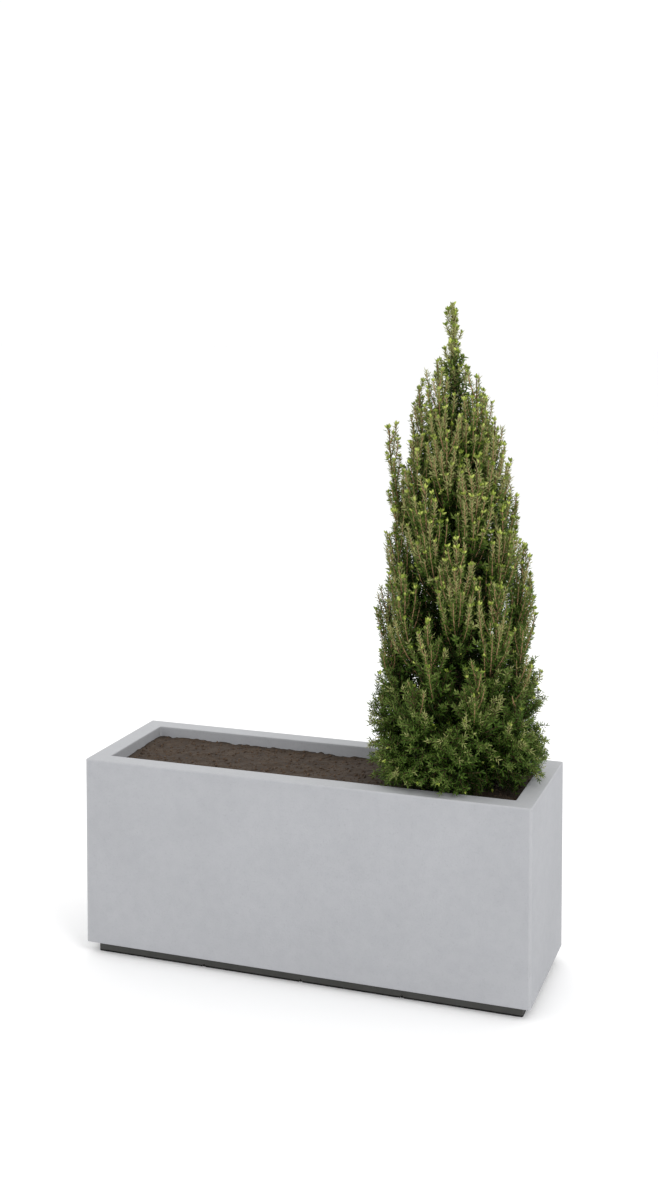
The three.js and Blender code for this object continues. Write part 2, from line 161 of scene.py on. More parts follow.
def mix(a, b, share):
    """The value a share of the way from a to b."""
    return a + (b - a) * share


def reached(value, start, span):
    """How far a value has come from a start through a span, kept between 0 and 1."""
    return np.clip((value - start) / span, 0, 1)


def unit(vectors):
    """Vectors brought to a length of one."""
    return vectors / np.maximum(np.linalg.norm(vectors, axis=-1, keepdims=True), 1e-9)


def even_angles(sides):
    """The angles of a full turn in equal steps."""
    return np.linspace(0, 2 * math.pi, sides, endpoint=False)


def spokes(first, second, sides):
    """first cos a + second sin a for every even angle a, on a new axis before the last."""
    a = even_angles(sides)[:, None]
    return first[..., None, :] * np.cos(a) + second[..., None, :] * np.sin(a)


# %% [markdown]
# Shader groups
#
# Fibre-cement, bark, soil and moulded plastic all share two effects: a cloudy change of tone
# and a fine grain that stands up from the surface. Each is a node group, built once and placed
# in every material with its own values. The groups put out colours and normals only, and the
# Principled shader stays in the material.

# %% Node helpers
def plug(tree, socket, value):
    """Fills an input socket with another socket, a colour or a number."""
    if isinstance(value, bpy.types.NodeSocket):
        tree.links.new(value, socket)
    else:
        socket.default_value = (*value, 1) if isinstance(value, tuple) else value


def new_node(tree, kind, inputs=None, **settings):
    """A shader node of a kind, with its settings and its filled inputs."""
    node = tree.nodes.new("ShaderNode" + kind)
    for label, value in settings.items():
        setattr(node, label, value)
    for label, value in (inputs or {}).items():
        plug(tree, node.inputs[label], value)
    return node


def object_place(tree):
    """The place on the object, in metres from its origin."""
    return new_node(tree, "TexCoord").outputs["Object"]


def mesh_value(tree, name):
    """A value that the mesh carries at its points."""
    return new_node(tree, "Attribute", attribute_name=name).outputs["Fac"]


def product(tree, first, second):
    """Two values multiplied."""
    return new_node(tree, "Math", {0: first, 1: second}, operation="MULTIPLY").outputs[0]


def ramp(tree, value, low, high, at_low=0.0, at_high=1.0, kind="LINEAR"):
    """A value carried over from the range low to high to the range at_low to at_high."""
    inputs = {"Value": value, "From Min": low, "From Max": high, "To Min": at_low, "To Max": at_high}
    return new_node(tree, "MapRange", inputs, interpolation_type=kind).outputs["Result"]


def mix_colours(tree, share, first, second):
    """Two colours mixed by a share."""
    return new_node(tree, "Mix", {0: share, 6: first, 7: second}, data_type="RGBA").outputs[2]


# %% The two groups
def noise_group(name, texture, contrast, relief=False):
    """A shader group that lays a second colour over the first where a noise is high: its share
    is Share times the noise's contrast. With relief the noise also stands up from the surface."""
    group = bpy.data.node_groups.new(name, "ShaderNodeTree")
    sockets = [
        ("Colour", "INPUT", "Color"), ("Other colour", "INPUT", "Color"), ("Scale", "INPUT", "Float"),
        ("Share", "INPUT", "Float"), ("Colour", "OUTPUT", "Color"),
    ]
    if relief:
        sockets += [("Relief", "INPUT", "Float"), ("Normal", "OUTPUT", "Vector")]
    for label, way, kind in sockets:
        group.interface.new_socket(label, in_out=way, socket_type="NodeSocket" + kind)
    given = group.nodes.new("NodeGroupInput").outputs
    filled = group.nodes.new("NodeGroupOutput").inputs
    texture = {"Vector": object_place(group), "Scale": given["Scale"], **texture}
    height = new_node(group, "TexNoise", texture).outputs["Fac"]
    share = product(group, ramp(group, height, **contrast), given["Share"])
    plug(group, filled["Colour"], mix_colours(group, share, given["Colour"], given["Other colour"]))
    if relief:
        bump = new_node(group, "Bump", {"Height": height, "Distance": given["Relief"]})
        plug(group, filled["Normal"], bump.outputs["Normal"])
    print("group:", group.name)
    return group


cloud_contrast = {"low": 0.32, "high": 0.68, "kind": "SMOOTHSTEP"}
clouds = noise_group("cloudy tone", {"Detail": 5.0, "Roughness": 0.62}, cloud_contrast)
grain = noise_group("fine grain", {"Detail": 3.0}, {"low": 0.56, "high": 0.72}, relief=True)


# %% Material helpers
def grouped(tree, group, colour, other, scale, share, **more):
    """One of the two groups laid over a colour, by its outputs."""
    inputs = {"Colour": colour, "Other colour": other, "Scale": scale, "Share": share, **more}
    return new_node(tree, "Group", inputs, node_tree=group).outputs


def finish_with(name, tone, specks, relief, roughness, gloss=0.5):
    """A Principled material whose colour and normal come from the two groups. The tone is
    (colour, cloud colour, clouds per metre, share), the specks are (colour, number per metre,
    share), and the relief is the grain's height."""
    material = bpy.data.materials.new(name)
    material.use_nodes = True
    tree = material.node_tree
    toned = grouped(tree, clouds, *tone)["Colour"]
    skin = grouped(tree, grain, toned, *specks, Relief=relief)
    values = {"Base Color": skin["Colour"], "Normal": skin["Normal"], "Roughness": roughness}
    for label, value in {**values, "Specular IOR Level": gloss}.items():
        plug(tree, tree.nodes["Principled BSDF"].inputs[label], value)
    return material


def lay_over(material, share, colour):
    """Mixes one more colour over a material's own, by a share."""
    tree = material.node_tree
    base = tree.nodes["Principled BSDF"].inputs["Base Color"]
    plug(tree, base, mix_colours(tree, share, base.links[0].from_socket, colour))


def scaled(colour, factor):
    """A lighter or darker tone of a colour."""
    return tuple(factor * part for part in colour)


# %% [markdown]
# Cloud noise for shapes
#
# Soil, bark and crumbs need a relief that is modelled, not only painted. A lattice noise gives
# it: each corner of a grid of cubes has a number, and a point takes the smooth mean of the
# eight corners round it.

# %% Lattice noise
CORNER_STEPS = np.array([12.9898, 78.233, 37.719])


def lattice(points, cell):
    """Smooth noise from 0 to 1 at points (..., 3), with cubes of side cell: the mean of eight
    scrambled corners, weighted by 3t² - 2t³ along each direction."""
    counted = np.asarray(points, float) / cell
    base = np.floor(counted)
    share = counted - base
    share = share * share * (3 - 2 * share)
    total = 0.0
    for corner in np.ndindex(2, 2, 2):
        weight = np.prod(np.where(corner, share, 1 - share), axis=-1)
        total = total + weight * scrambled((base + corner) @ CORNER_STEPS)
    return total


def rough(points, cell, octaves=3):
    """Sum of lattice noises about zero, each with half the cell and half the height of the last."""
    return sum(0.5**k * (lattice(points, cell / 2**k) - 0.5) for k in range(octaves))


# %% [markdown]
# Planter
#
# The real planter is one cast box of fibre-cement with thick walls, softly rounded edges and a
# finely pitted, matt skin. It could be a cube with a bevel, but a profile carried round an
# outline gives every edge its own radius: the profile starts under the box, climbs the
# outside, turns over the rim, runs down the inside and closes under the soil.

# %% Outline and profile of the planter
CORNER_RADIUS, LEAST_RADIUS = 5 * MM, 1.5 * MM
EDGE_RADIUS, EDGE_STATIONS = 2.5 * MM, 6
ARC_STEPS = 8
SUPPORT = 3 * MM
WALL = soil_low[0] - GAP - planter_low[0]
INSIDE_FLOOR = soil_low[2] - GAP


def outline(half_x, half_y, radius):
    """Rounded rectangle, anticlockwise: at each corner an arc centre + radius (cos a, sin a),
    with one more point a little way along the straight side before and after it."""
    turns = np.linspace(0, math.pi / 2, ARC_STEPS + 1)
    angle = np.concatenate([turns[:1], turns, turns[-1:]]) + np.arange(4)[:, None] * math.pi / 2
    slide = np.concatenate([[-SUPPORT], np.zeros(ARC_STEPS + 1), [SUPPORT]])
    sign_x = np.array([1, -1, -1, 1])[:, None]
    sign_y = np.array([1, 1, -1, -1])[:, None]
    x = sign_x * (half_x - radius) + radius * np.cos(angle) - slide * np.sin(angle)
    y = sign_y * (half_y - radius) + radius * np.sin(angle) + slide * np.cos(angle)
    return np.stack([x, y], -1).reshape(-1, 2)


def box_profile(low, high, wall, floor):
    """Insets and heights of a wall's section: quarter circles e (1 - sin t), e (1 - cos t) at the
    foot and at both edges of the rim, joined by straight runs with a support close to each."""
    t = np.linspace(0, math.pi / 2, EDGE_STATIONS)
    s, c = EDGE_RADIUS * (1 - np.sin(t)), EDGE_RADIUS * (1 - np.cos(t))
    near = EDGE_RADIUS + SUPPORT
    foot, outside = [near, *s, 0, 0], [low, *(low + c), low + near, high - near]
    outer, rim = [*c, near, wall - near], [*(high - s), high, high]
    inner, inside = [*(wall - s), wall, wall], [*(high - c), high - near, floor]
    return np.column_stack([foot + outer + inner, outside + rim + inside])


def carried_round(profile, half_x, half_y):
    """Each profile point becomes one outline, moved in by its inset. The corner's radius shrinks
    with the inset on the outside and grows again towards the opening."""
    wall = profile[-1, 0]
    rings = []
    for inset, z in profile:
        radius = max(CORNER_RADIUS - inset, CORNER_RADIUS + inset - wall, LEAST_RADIUS)
        ring = outline(half_x - inset, half_y - inset, radius)
        rings.append(np.column_stack([ring, np.full(len(ring), z)]))
    return np.array(rings)


profile = box_profile(planter_low[2], RIM, WALL, INSIDE_FLOOR)
rings = carried_round(profile, *planter_high[:2])
ring_count, ring_size = rings.shape[:2]
points = np.concatenate([rings.reshape(-1, 3), [[0, 0, planter_low[2]], [0, 0, INSIDE_FLOOR]]])
place = np.arange(ring_size) % (ARC_STEPS + 3)
on_arc = (place > 0) & (place < ARC_STEPS + 2)
# The edge value marks the rim and the rounded corners for a paler band: a painted highlight with a
# little edge wear.
near_rim = np.clip(1 - np.abs(rings[:, :, 2] - RIM) / (2 * EDGE_RADIUS), 0, 1)
edge = np.append(np.maximum(near_rim, 0.5 * on_arc).ravel(), [0, 0])
faces = ring_faces(ring_count, ring_size)
planter = new_piece("planter_shell", points, faces, attributes={"edge": edge})

# %% Fibre-cement
CEMENT = (0.374, 0.38, 0.4)
CEMENT_CLOUD = (0.346, 0.352, 0.371)
CEMENT_PIT = (0.27, 0.28, 0.29)
# the fourth colour is the pale tone of the mottling and the painted highlight along the edges
CEMENT_PALE_AND_HIGHLIGHT = (0.56, 0.565, 0.57)
CELLS_PER_PIT, PIT_SIZE = 4, 3.2 * MM
PIT_DEPTH, PIT_STRENGTH = 0.5 * MM, 0.65
PIT_REACH, PIT_CHOICE = (0.02, 0.11), (0.56, 0.6)
MOTTLES, EDGE_HIGHLIGHT_SHARE = (36.0, 0.08), 0.25


def pitted(material, pit_colour, pale_and_highlight_colour):
    """Adds a fine mottling, a paler band read from the mesh along the edges as a painted highlight
    with a little edge wear, and small sparse pits with their own relief."""
    tree = material.node_tree
    base, normal = (tree.nodes["Principled BSDF"].inputs[label] for label in ("Base Color", "Normal"))
    under = base.links[0].from_socket
    plug(tree, base, grouped(tree, clouds, under, pale_and_highlight_colour, *MOTTLES)["Colour"])
    # the paler edge band: a painted highlight with a little edge wear
    lay_over(material, product(tree, mesh_value(tree, "edge"), EDGE_HIGHLIGHT_SHARE), pale_and_highlight_colour)
    cell_inputs = {"Vector": object_place(tree), "Scale": 1 / (CELLS_PER_PIT * PIT_SIZE)}
    cells = new_node(tree, "TexVoronoi", cell_inputs).outputs
    near_middle = ramp(tree, cells["Distance"], *PIT_REACH, 1.0, 0.0, kind="SMOOTHSTEP")
    cell_number = new_node(tree, "SeparateColor", {"Color": cells["Color"]}).outputs["Red"]
    pits = product(tree, near_middle, ramp(tree, cell_number, *PIT_CHOICE))
    lay_over(material, product(tree, pits, PIT_STRENGTH), pit_colour)
    sunk = {"Height": pits, "Distance": PIT_DEPTH, "Normal": normal.links[0].from_socket}
    plug(tree, normal, new_node(tree, "Bump", sunk, invert=True).outputs["Normal"])


cement = finish_with(
    "fibre_cement", (CEMENT, CEMENT_CLOUD, 3.2, 0.75), (CEMENT_PIT, 190.0, 0.34), 0.5 * MM, 0.82
)
pitted(cement, CEMENT_PIT, CEMENT_PALE_AND_HIGHLIGHT)
dress(planter, cement, ["planter"])
print("planter dressed in", cement.name)

# %% [markdown]
# Plinth
#
# Under the box is a dark plinth of moulded plastic, set back a little, with a small peaked
# notch at each drain. Its solid has the true shape already, so it stays and only gets a finish:
# near-black, matt, with a fine moulded grain. Its lowest 4 mm are painted black as shade where
# it meets the floor, and a black plug in each notch is painted shade for its dark hollow.

# %% Plinth finish
# The black band along the lowest 4 mm is painted shade where the plinth meets the floor.
FOOT_SHADE_HEIGHT, FOOT_SHADE_FADE, FOOT_SHADE_BLACK = 4 * MM, (0.8, 1.2), (0.003, 0.003, 0.003)


def paint_foot_shade(material, height, colour):
    """Changes the colour below a height, read from the Object coordinate: painted shade at the foot."""
    tree = material.node_tree
    z = new_node(tree, "SeparateXYZ", {"Vector": object_place(tree)}).outputs["Z"]
    lay_over(material, ramp(tree, z, *(share * height for share in FOOT_SHADE_FADE), 1.0, 0.0), colour)


plinth_plastic = finish_with(
    "plinth_plastic", ((0.06, 0.06, 0.056), (0.085, 0.085, 0.08), 9.0, 0.6),
    ((0.12, 0.12, 0.11), 900.0, 0.3), 0.15 * MM, 0.7, 0.2,
)
# painted shade along the foot of the plinth
paint_foot_shade(plinth_plastic, FOOT_SHADE_HEIGHT, FOOT_SHADE_BLACK)
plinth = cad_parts["plinth"]
plinth.data.materials.clear()
plinth.data.materials.append(plinth_plastic)
print("plinth dressed in", plinth_plastic.name)

# %% Painted shade in the notches
# A black plug set back in each notch is painted shade for the dark hollow inside the plinth.
NOTCH_SPACING, NOTCH_WIDTH, NOTCH_HEIGHT = 270 * MM, 12 * MM, 9 * MM
SHADE_PLUG_SET_BACK, SHADE_PLUG_THICKNESS = 3 * MM, 3 * MM
SHADE_PLUG_SHARE = 0.8
PRISM = np.array(
    [[0, 2, 1], [3, 4, 5], [0, 1, 4], [0, 4, 3], [1, 2, 5], [1, 5, 4], [2, 0, 3], [2, 3, 5]]
)

peak = np.array([[-NOTCH_WIDTH / 2, 0], [NOTCH_WIDTH / 2, 0], [0, NOTCH_HEIGHT]]) * SHADE_PLUG_SHARE
places = [(x, side) for x in (-NOTCH_SPACING, 0, NOTCH_SPACING) for side in (-1, 1)]
near = highest["plinth"][1] - SHADE_PLUG_SET_BACK
blocks = np.array([
    [[x + a, side * y, GAP + b] for y in (near, near - SHADE_PLUG_THICKNESS) for a, b in peak]
    for x, side in places
])
prisms = np.array([PRISM[:, ::side] for _, side in places])
shade_plugs = new_piece("notch_shade_plugs", *joined(blocks, prisms), smooth=False)
# near-black and matt: painted shade
flap_rubber = finish_with(
    "flap_rubber", ((0.004, 0.004, 0.004), (0.006, 0.006, 0.006), 60.0, 0.5),
    ((0.01, 0.01, 0.01), 900.0, 0.2), 0.1 * MM, 0.9, 0.0,
)
dress(shade_plugs, flap_rubber)

# %% [markdown]
# Soil
#
# Dark potting soil lies a little below the rim. It is a height field: a grid in x and y whose
# height is a sum of cloud noises, with a low mound where the root ball sits. A skirt and a
# bottom close it to a block, and crumbs are strewn over it.

# %% Soil surface
SOIL_COLUMNS, SOIL_ROWS = 190, 56
SOIL_RELIEF, SOIL_SETTLED = 7 * MM, 3 * MM
BROAD_CELL, CRUMBLY_CELL, CRUMBLY_SHARE = 90 * MM, 11 * MM, 0.8
MOUND, MOUND_WIDTH = 9 * MM, 75 * MM
TRUNK_X = 366 * MM


def soil_height(x, y):
    """Height of the soil: cloud noise at three sizes, finer crumbs, and a mound exp(-d²/w²)
    round the trunk."""
    spots = np.stack([x, y, np.zeros_like(x)], -1)
    broad = rough(spots, BROAD_CELL)
    crumbly = rough(spots + 5.0, CRUMBLY_CELL)
    distance = np.hypot(x - TRUNK_X, y)
    mound = MOUND * np.exp(-((distance / MOUND_WIDTH) ** 2))
    return SOIL_TOP - SOIL_SETTLED + SOIL_RELIEF * broad + CRUMBLY_SHARE * SOIL_RELIEF * crumbly + mound


x = np.linspace(soil_low[0], soil_high[0], SOIL_COLUMNS)
y = np.linspace(soil_low[1], soil_high[1], SOIL_ROWS)
grid_y, grid_x = np.meshgrid(y, x, indexing="ij")
top = np.stack([grid_x, grid_y, soil_height(grid_x, grid_y)], -1).reshape(-1, 3)
number = np.arange(len(top)).reshape(SOIL_ROWS, SOIL_COLUMNS)
border = np.concatenate([number[0, :-1], number[:-1, -1], number[-1, :0:-1], number[:0:-1, 0]])
skirt = top[border]
skirt[:, 2] = soil_low[2]
below = number.size + np.arange(len(border))
sides = np.stack([np.roll(border, -1), border, below, np.roll(below, -1)], -1)
points = np.concatenate([top, skirt, [[0, 0, soil_low[2]]]])
faces = np.concatenate([sheet(number), triangles(sides), fan(below, len(points) - 1, flip=True)])
soil = new_piece("soil_surface", points, faces)

# %% Crumbs
CRUMBS, CRUMB_INSET = 2000, 8 * MM
CRUMB_SIZE, CRUMB_LEAST, CRUMB_CHANGE = (1.6 * MM, 5.5 * MM), 0.65, 0.7
OCTAHEDRON = np.array([[1, 0, 0], [0, 1, 0], [-1, 0, 0], [0, -1, 0], [0, 0, 1], [0, 0, -1]], float)
OCTAHEDRON_FACES = np.concatenate([fan(np.arange(4), 4), fan(np.arange(4), 5, flip=True)])

number = np.arange(CRUMBS)
x, y = (
    mix(soil_low[axis] + CRUMB_INSET, soil_high[axis] - CRUMB_INSET, noise(number, 11 + axis))
    for axis in (0, 1)
)
spots = np.stack([x, y, soil_height(x, y)], -1)
size = mix(*CRUMB_SIZE, noise(number, 13) ** 3)
uneven = CRUMB_LEAST + CRUMB_CHANGE * noise(number[:, None] * 6 + np.arange(6), 14)
shapes = OCTAHEDRON * uneven[..., None] * size[:, None, None]
crumbs = new_piece("soil_crumbs", *joined(spots[:, None] + shapes, OCTAHEDRON_FACES))

# %% Soil finish
soil_brown = finish_with(
    "potting_soil", ((0.034, 0.022, 0.014), (0.06, 0.038, 0.022), 26.0, 0.8),
    ((0.014, 0.009, 0.006), 240.0, 0.5), 1.2 * MM, 0.95,
)
crumb_brown = finish_with(
    "soil_crumb", ((0.05, 0.031, 0.019), (0.1, 0.062, 0.036), 60.0, 0.9),
    ((0.02, 0.013, 0.009), 500.0, 0.5), 0.5 * MM, 0.95,
)
dress(soil, soil_brown, ["soil"])
dress(crumbs, crumb_brown)

# %% [markdown]
# Tubes and directions
#
# Trunk, boughs, stems and twigs are all tubes: a ring carried along a path, drawn to a point at
# both ends. One function makes a whole family of them at once, because paths are held as an
# array of path, station and coordinate.

# %% Tubes
def square_to(vectors, along):
    """Unit vectors square to a direction: each vector with its part along it taken off."""
    return unit(vectors - (vectors * along).sum(-1, keepdims=True) * along)


def tubes(paths, radii, sides):
    """Closed tubes: path + radius (first cos a + second sin a), for radii (n, m) or
    (n, m, sides). First comes from the axis least in line with the path."""
    along = unit(np.gradient(paths, axis=1))
    lean = np.abs(unit(paths[:, -1] - paths[:, 0]))
    first = square_to(np.eye(3)[np.argmin(lean, axis=1)][:, None, :], along)
    radii = radii if radii.ndim == 3 else radii[:, :, None]
    rings = paths[:, :, None] + spokes(first, np.cross(along, first), sides) * radii[..., None]
    points = np.concatenate([rings.reshape(len(paths), -1, 3), paths[:, [0, -1]]], axis=1)
    return joined(points, ring_faces(paths.shape[1], sides))


def on_paths(paths, which, share):
    """Points and directions on paths (n, m, 3): straight between the two stations beside a share."""
    place = np.clip(share, 0, 0.9999) * (paths.shape[1] - 1)
    low = place.astype(int)
    start, end = paths[which, low], paths[which, low + 1]
    return mix(start, end, (place - low)[:, None]), unit(end - start)


def turned(u, v, angle):
    """u cos a + v sin a, with an angle for each."""
    return u * np.cos(angle)[:, None] + v * np.sin(angle)[:, None]


def round_about(direction, angle):
    """Unit vectors square to a direction, at an angle round it."""
    u = square_to(np.eye(3)[np.argmin(np.abs(direction), axis=1)], direction)
    return turned(u, np.cross(direction, u), angle)


def path_lengths(paths):
    """Lengths of paths (n, m, 3)."""
    return np.linalg.norm(np.diff(paths, axis=1), axis=-1).sum(-1)


def turned_paths(roots, ways, lengths, stations):
    """Paths whose direction turns evenly from the first way to the last:
    root + L (d0 t + (d1 - d0) t² / 2)."""
    t = np.linspace(0, 1, stations)[None, :, None]
    first, last = ways
    bend = first[:, None] * t + (last - first)[:, None] * t**2 / 2
    return roots[:, None] + lengths[:, None, None] * bend


# %% [markdown]
# The trunk and the crown's rule
#
# The solids were grown by a rule, and the crown here follows it: a leaning trunk, a cone-shaped
# envelope, and one axis for each plume that leaves the trunk by the golden angle, bends up and
# climbs to its tip. A plume's own space is everything nearer to its axis than to any other.

# %% Driving dimensions of the tree
TRUNK_FOOT, TRUNK_TOP = lowest["trunk"][2], highest["trunk"][2]
TREE_TOP = 1728 * MM
LEAN_X, LEAN_Y, LEAN_POWER = -17 * MM, -6 * MM, 1.3
TRUNK_RADIUS, TRUNK_TOP_RADIUS, TAPER_POWER = 19 * MM, 4 * MM, 0.9
FLARE, FLARE_HEIGHT = 12 * MM, 34 * MM
CROWN_RADIUS, CROWN_POWER, CROWN_BLUNTNESS = 243 * MM, 1.6, 0.65
CROWN_FOOT, CROWN_TOP = 500 * MM, 1705 * MM
PLUMES, PLUMES_ON_BOUGHS = 44, 10
LOWEST_TIP, HIGHEST_TIP = 618 * MM, 1594 * MM
CROWDING, LOW_CROWDING = 1.12, 1.25
GOLDEN_ANGLE = math.radians(137.508)
FIRST_TURN, SPIRE_TURN = math.radians(89), math.radians(188)
SPIRE_TIP, SPIRE_REACH, SPIRE_WIDTH = 1415 * MM, 168 * MM, 1.08
LOWEST_FOOT, LOW_FEET_SPREAD = SOIL_TOP + 30 * MM, 0.3
RISE, RISE_PER_REACH = 240 * MM, 0.6
FOOT_OUT, ELBOW_OUT, AXIS_UP = 0.6, 0.7, (0, 0.1, 0.36, 1)
LOW_TIP_SHARE, HIGH_TIP_SHARE = 0.78, 0.98
TIP_JITTER, TURN_JITTER = 20 * MM, 0.24
REACH_LEAST, REACH_JITTER = 0.95, 0.1
RIM_CLEARANCE, SOIL_CLEARANCE, WALL_CLEARANCE = 9 * MM, 8 * MM, 14 * MM
CROWN_ALLOWANCE = 4 * MM
AXIS_STEPS, FINE_STEPS = 10, 40
UP = np.array([0.0, 0.0, 1.0])


def trunk_point(z):
    """Middle of the trunk at heights z: it leans by the share of the height to the power 1.3."""
    z = np.asarray(z, float)
    share = np.maximum(0, (z - TRUNK_FOOT) / (TREE_TOP - TRUNK_FOOT)) ** LEAN_POWER
    return np.stack([TRUNK_X + LEAN_X * share, LEAN_Y * share, z], -1)


def off_trunk(points):
    """Distance of points from the middle of the trunk at their own height."""
    return np.hypot(*(points - trunk_point(points[:, 2]))[:, :2].T)


def trunk_radius(z):
    """Half-thickness of the trunk: an even taper, and a flare exp(-h / flare height) at the soil."""
    height = np.asarray(z, float) - TRUNK_FOOT
    share = np.clip(height / (TRUNK_TOP - TRUNK_FOOT), 0, 1)
    taper = TRUNK_TOP_RADIUS + (TRUNK_RADIUS - TRUNK_TOP_RADIUS) * (1 - share) ** TAPER_POWER
    return taper + FLARE * np.exp(-height / FLARE_HEIGHT)


def crown_radius(z):
    """Half-width of the crown: R (1 - t^1.6)^0.65, t being the share of the crown's height."""
    t = reached(np.asarray(z, float), CROWN_FOOT, CROWN_TOP - CROWN_FOOT)
    return CROWN_RADIUS * (1 - t**CROWN_POWER) ** CROWN_BLUNTNESS


def cubic(points, t):
    """Cubic Bezier curve through four control points (4, 3)."""
    t = np.asarray(t, float)[:, None]
    a, b, c, d = points
    return (1 - t) ** 3 * a + 3 * (1 - t) ** 2 * t * b + 3 * (1 - t) * t**2 * c + t**3 * d


def axis_controls(turn, tip, reach):
    """Control points of a plume's axis: foot in the trunk, elbow, shoulder and tip."""
    lowest_foot = LOWEST_FOOT + LOW_FEET_SPREAD * (tip - LOWEST_TIP)
    foot = max(lowest_foot, tip - RISE - RISE_PER_REACH * reach)
    across = np.array([math.cos(turn), math.sin(turn), 0])
    out = np.array([FOOT_OUT * float(trunk_radius(foot)), ELBOW_OUT * reach, reach, reach])
    return trunk_point(mix(foot, tip, np.array(AXIS_UP))) + out[:, None] * across, across


i = np.arange(PLUMES)
u = (i + 0.5) / PLUMES
tips = LOWEST_TIP + (HIGHEST_TIP - LOWEST_TIP) * (1 - (1 - u) ** CROWDING) ** LOW_CROWDING
tips = tips + TIP_JITTER * (noise(i, 1) - 0.5)
turns = FIRST_TURN + i * GOLDEN_ANGLE + TURN_JITTER * (noise(i, 2) - 0.5)
tip_share = mix(LOW_TIP_SHARE, HIGH_TIP_SHARE, (tips - CROWN_FOOT) / (CROWN_TOP - CROWN_FOOT))
reaches = crown_radius(tips) * tip_share * (REACH_LEAST + REACH_JITTER * noise(i, 3))
rows = [*zip(turns, tips, reaches), (SPIRE_TURN, SPIRE_TIP, SPIRE_REACH)]
controls, across = (np.array(part) for part in zip(*(axis_controls(*row) for row in rows)))
steps = np.linspace(0, 1, AXIS_STEPS + 1)
leader_line = mix(trunk_point(TRUNK_TOP + GAP), trunk_point(TREE_TOP), steps[:, None])
axes = np.array([cubic(control, steps) for control in controls] + [leader_line])
fine_axes = np.array([cubic(control, np.linspace(0, 1, FINE_STEPS + 1)) for control in controls])
LEADER = len(axes) - 1
print(len(axes), "axes; highest tip", round(axes[:LEADER, -1, 2].max(), 3), "m")

# %% A plume's own space
POINTS_AT_ONCE = 20000

starts = axes[:, :-1].reshape(-1, 3)
spans = (axes[:, 1:] - axes[:, :-1]).reshape(-1, 3)
span_squares = (spans**2).sum(-1)


def axis_distances(points):
    """Distance from points to every axis: the least |p - a - t s| over its straight spans a, s,
    with t = (p - a)·s / s·s kept between 0 and 1."""
    found = []
    for part in np.array_split(points, max(1, len(points) // POINTS_AT_ONCE)):
        onto = part @ spans.T - (starts * spans).sum(-1)
        t = np.clip(onto / span_squares, 0, 1)
        squares = (part**2).sum(-1)[:, None] - 2 * part @ starts.T + (starts**2).sum(-1)
        squares = squares - 2 * t * onto + t * t * span_squares
        found.append(squares.reshape(len(part), len(axes), AXIS_STEPS).min(-1))
    return np.sqrt(np.maximum(np.concatenate(found), 0))


def in_own_space(points, own, margin, from_shell, above_tip, slope=0.0):
    """True where a point keeps to the space of plume own, by a margin to its neighbours, by
    from_shell to the crown's outline, and under a cone that stands above_tip over the plume's
    own tip and falls with a slope. Inside the walls it may sink nearly to the soil."""
    z = points[:, 2]
    out = off_trunk(points)
    aside = np.hypot(*(points[:, :2] - axes[own, -1, :2]).T)
    over_soil = (np.abs(points[:, :2]) < planter_high[:2] - WALL - WALL_CLEARANCE).all(1)
    floor = np.where(over_soil, SOIL_TOP + SOIL_CLEARANCE, RIM + RIM_CLEARANCE)
    spire = np.where(own == PLUMES, SPIRE_REACH * SPIRE_WIDTH, 0)
    furthest = np.maximum(crown_radius(z) + CROWN_ALLOWANCE, spire) - from_shell
    inside = (out < furthest) & (out > trunk_radius(z) + margin) | (own == LEADER)
    inside &= (z > floor + margin) & (z < axes[own, -1, 2] + above_tip - slope * aside)
    distances = axis_distances(points)
    mine = distances[np.arange(len(points)), own]
    distances[np.arange(len(points)), own] = np.inf
    return inside & (distances.min(-1) > mine + 2 * margin)


# %% [markdown]
# Trunk and boughs
#
# A young spruce has thin brown-grey bark that breaks into small scales, with orange-brown
# cracks between them. The relief is modelled: cloud noise on the bark's own cylinder is
# sharpened into ridges, and the same ridges go into the mesh as a value that the material uses
# to colour the cracks.

# %% Trunk with its bark
TRUNK_STATIONS, TRUNK_SIDES = 260, 32
STATION_POWER = 1.2
BARK_RELIEF, BOUGH_RELIEF = 1.5 * MM, 0.5 * MM
TRUNK_SCALE, BOUGH_SCALE = 11 * MM, 7 * MM
SCALE_STRETCH, SCALE_DEPTH = 0.45, 0.32
BARK_CYLINDER, BARK_SHIFT, LEAST_RELIEF = 14, 1.7, 0.2
TRUNK_SINK = 9 * MM
ROOT_RIBS, ROOT_SWELL = 5, 0.16
POLE_RIDGE = 0.5


def bark_ridges(paths, sides, scale):
    """Height of the bark from 0 to 1: |noise| folded once, on a cylinder of 14 mm drawn out
    along the path so that scales are taller than wide."""
    x, y = (turn(even_angles(sides)) * BARK_CYLINDER * MM for turn in (np.cos, np.sin))
    length = np.cumsum(np.linalg.norm(np.diff(paths, axis=1, prepend=paths[:, :1]), axis=-1), axis=1)
    z = SCALE_STRETCH * length[..., None] + np.arange(len(paths))[:, None, None] * BARK_SHIFT
    folded = np.abs(rough(np.stack(np.broadcast_arrays(x, y, z), -1), scale)) / SCALE_DEPTH
    return np.clip(folded, 0, 1)


def with_bark(name, paths, sides, radii, relief, ridges):
    """Tubes whose bark sinks between its ridges, with the ridges as a value in the mesh."""
    points, faces = tubes(paths, radii - relief * (1 - ridges), sides)
    poles = np.full((len(paths), 2), POLE_RIDGE)
    values = np.concatenate([ridges.reshape(len(paths), -1), poles], axis=1)
    return new_piece(name, points, faces, attributes={"ridge": values})


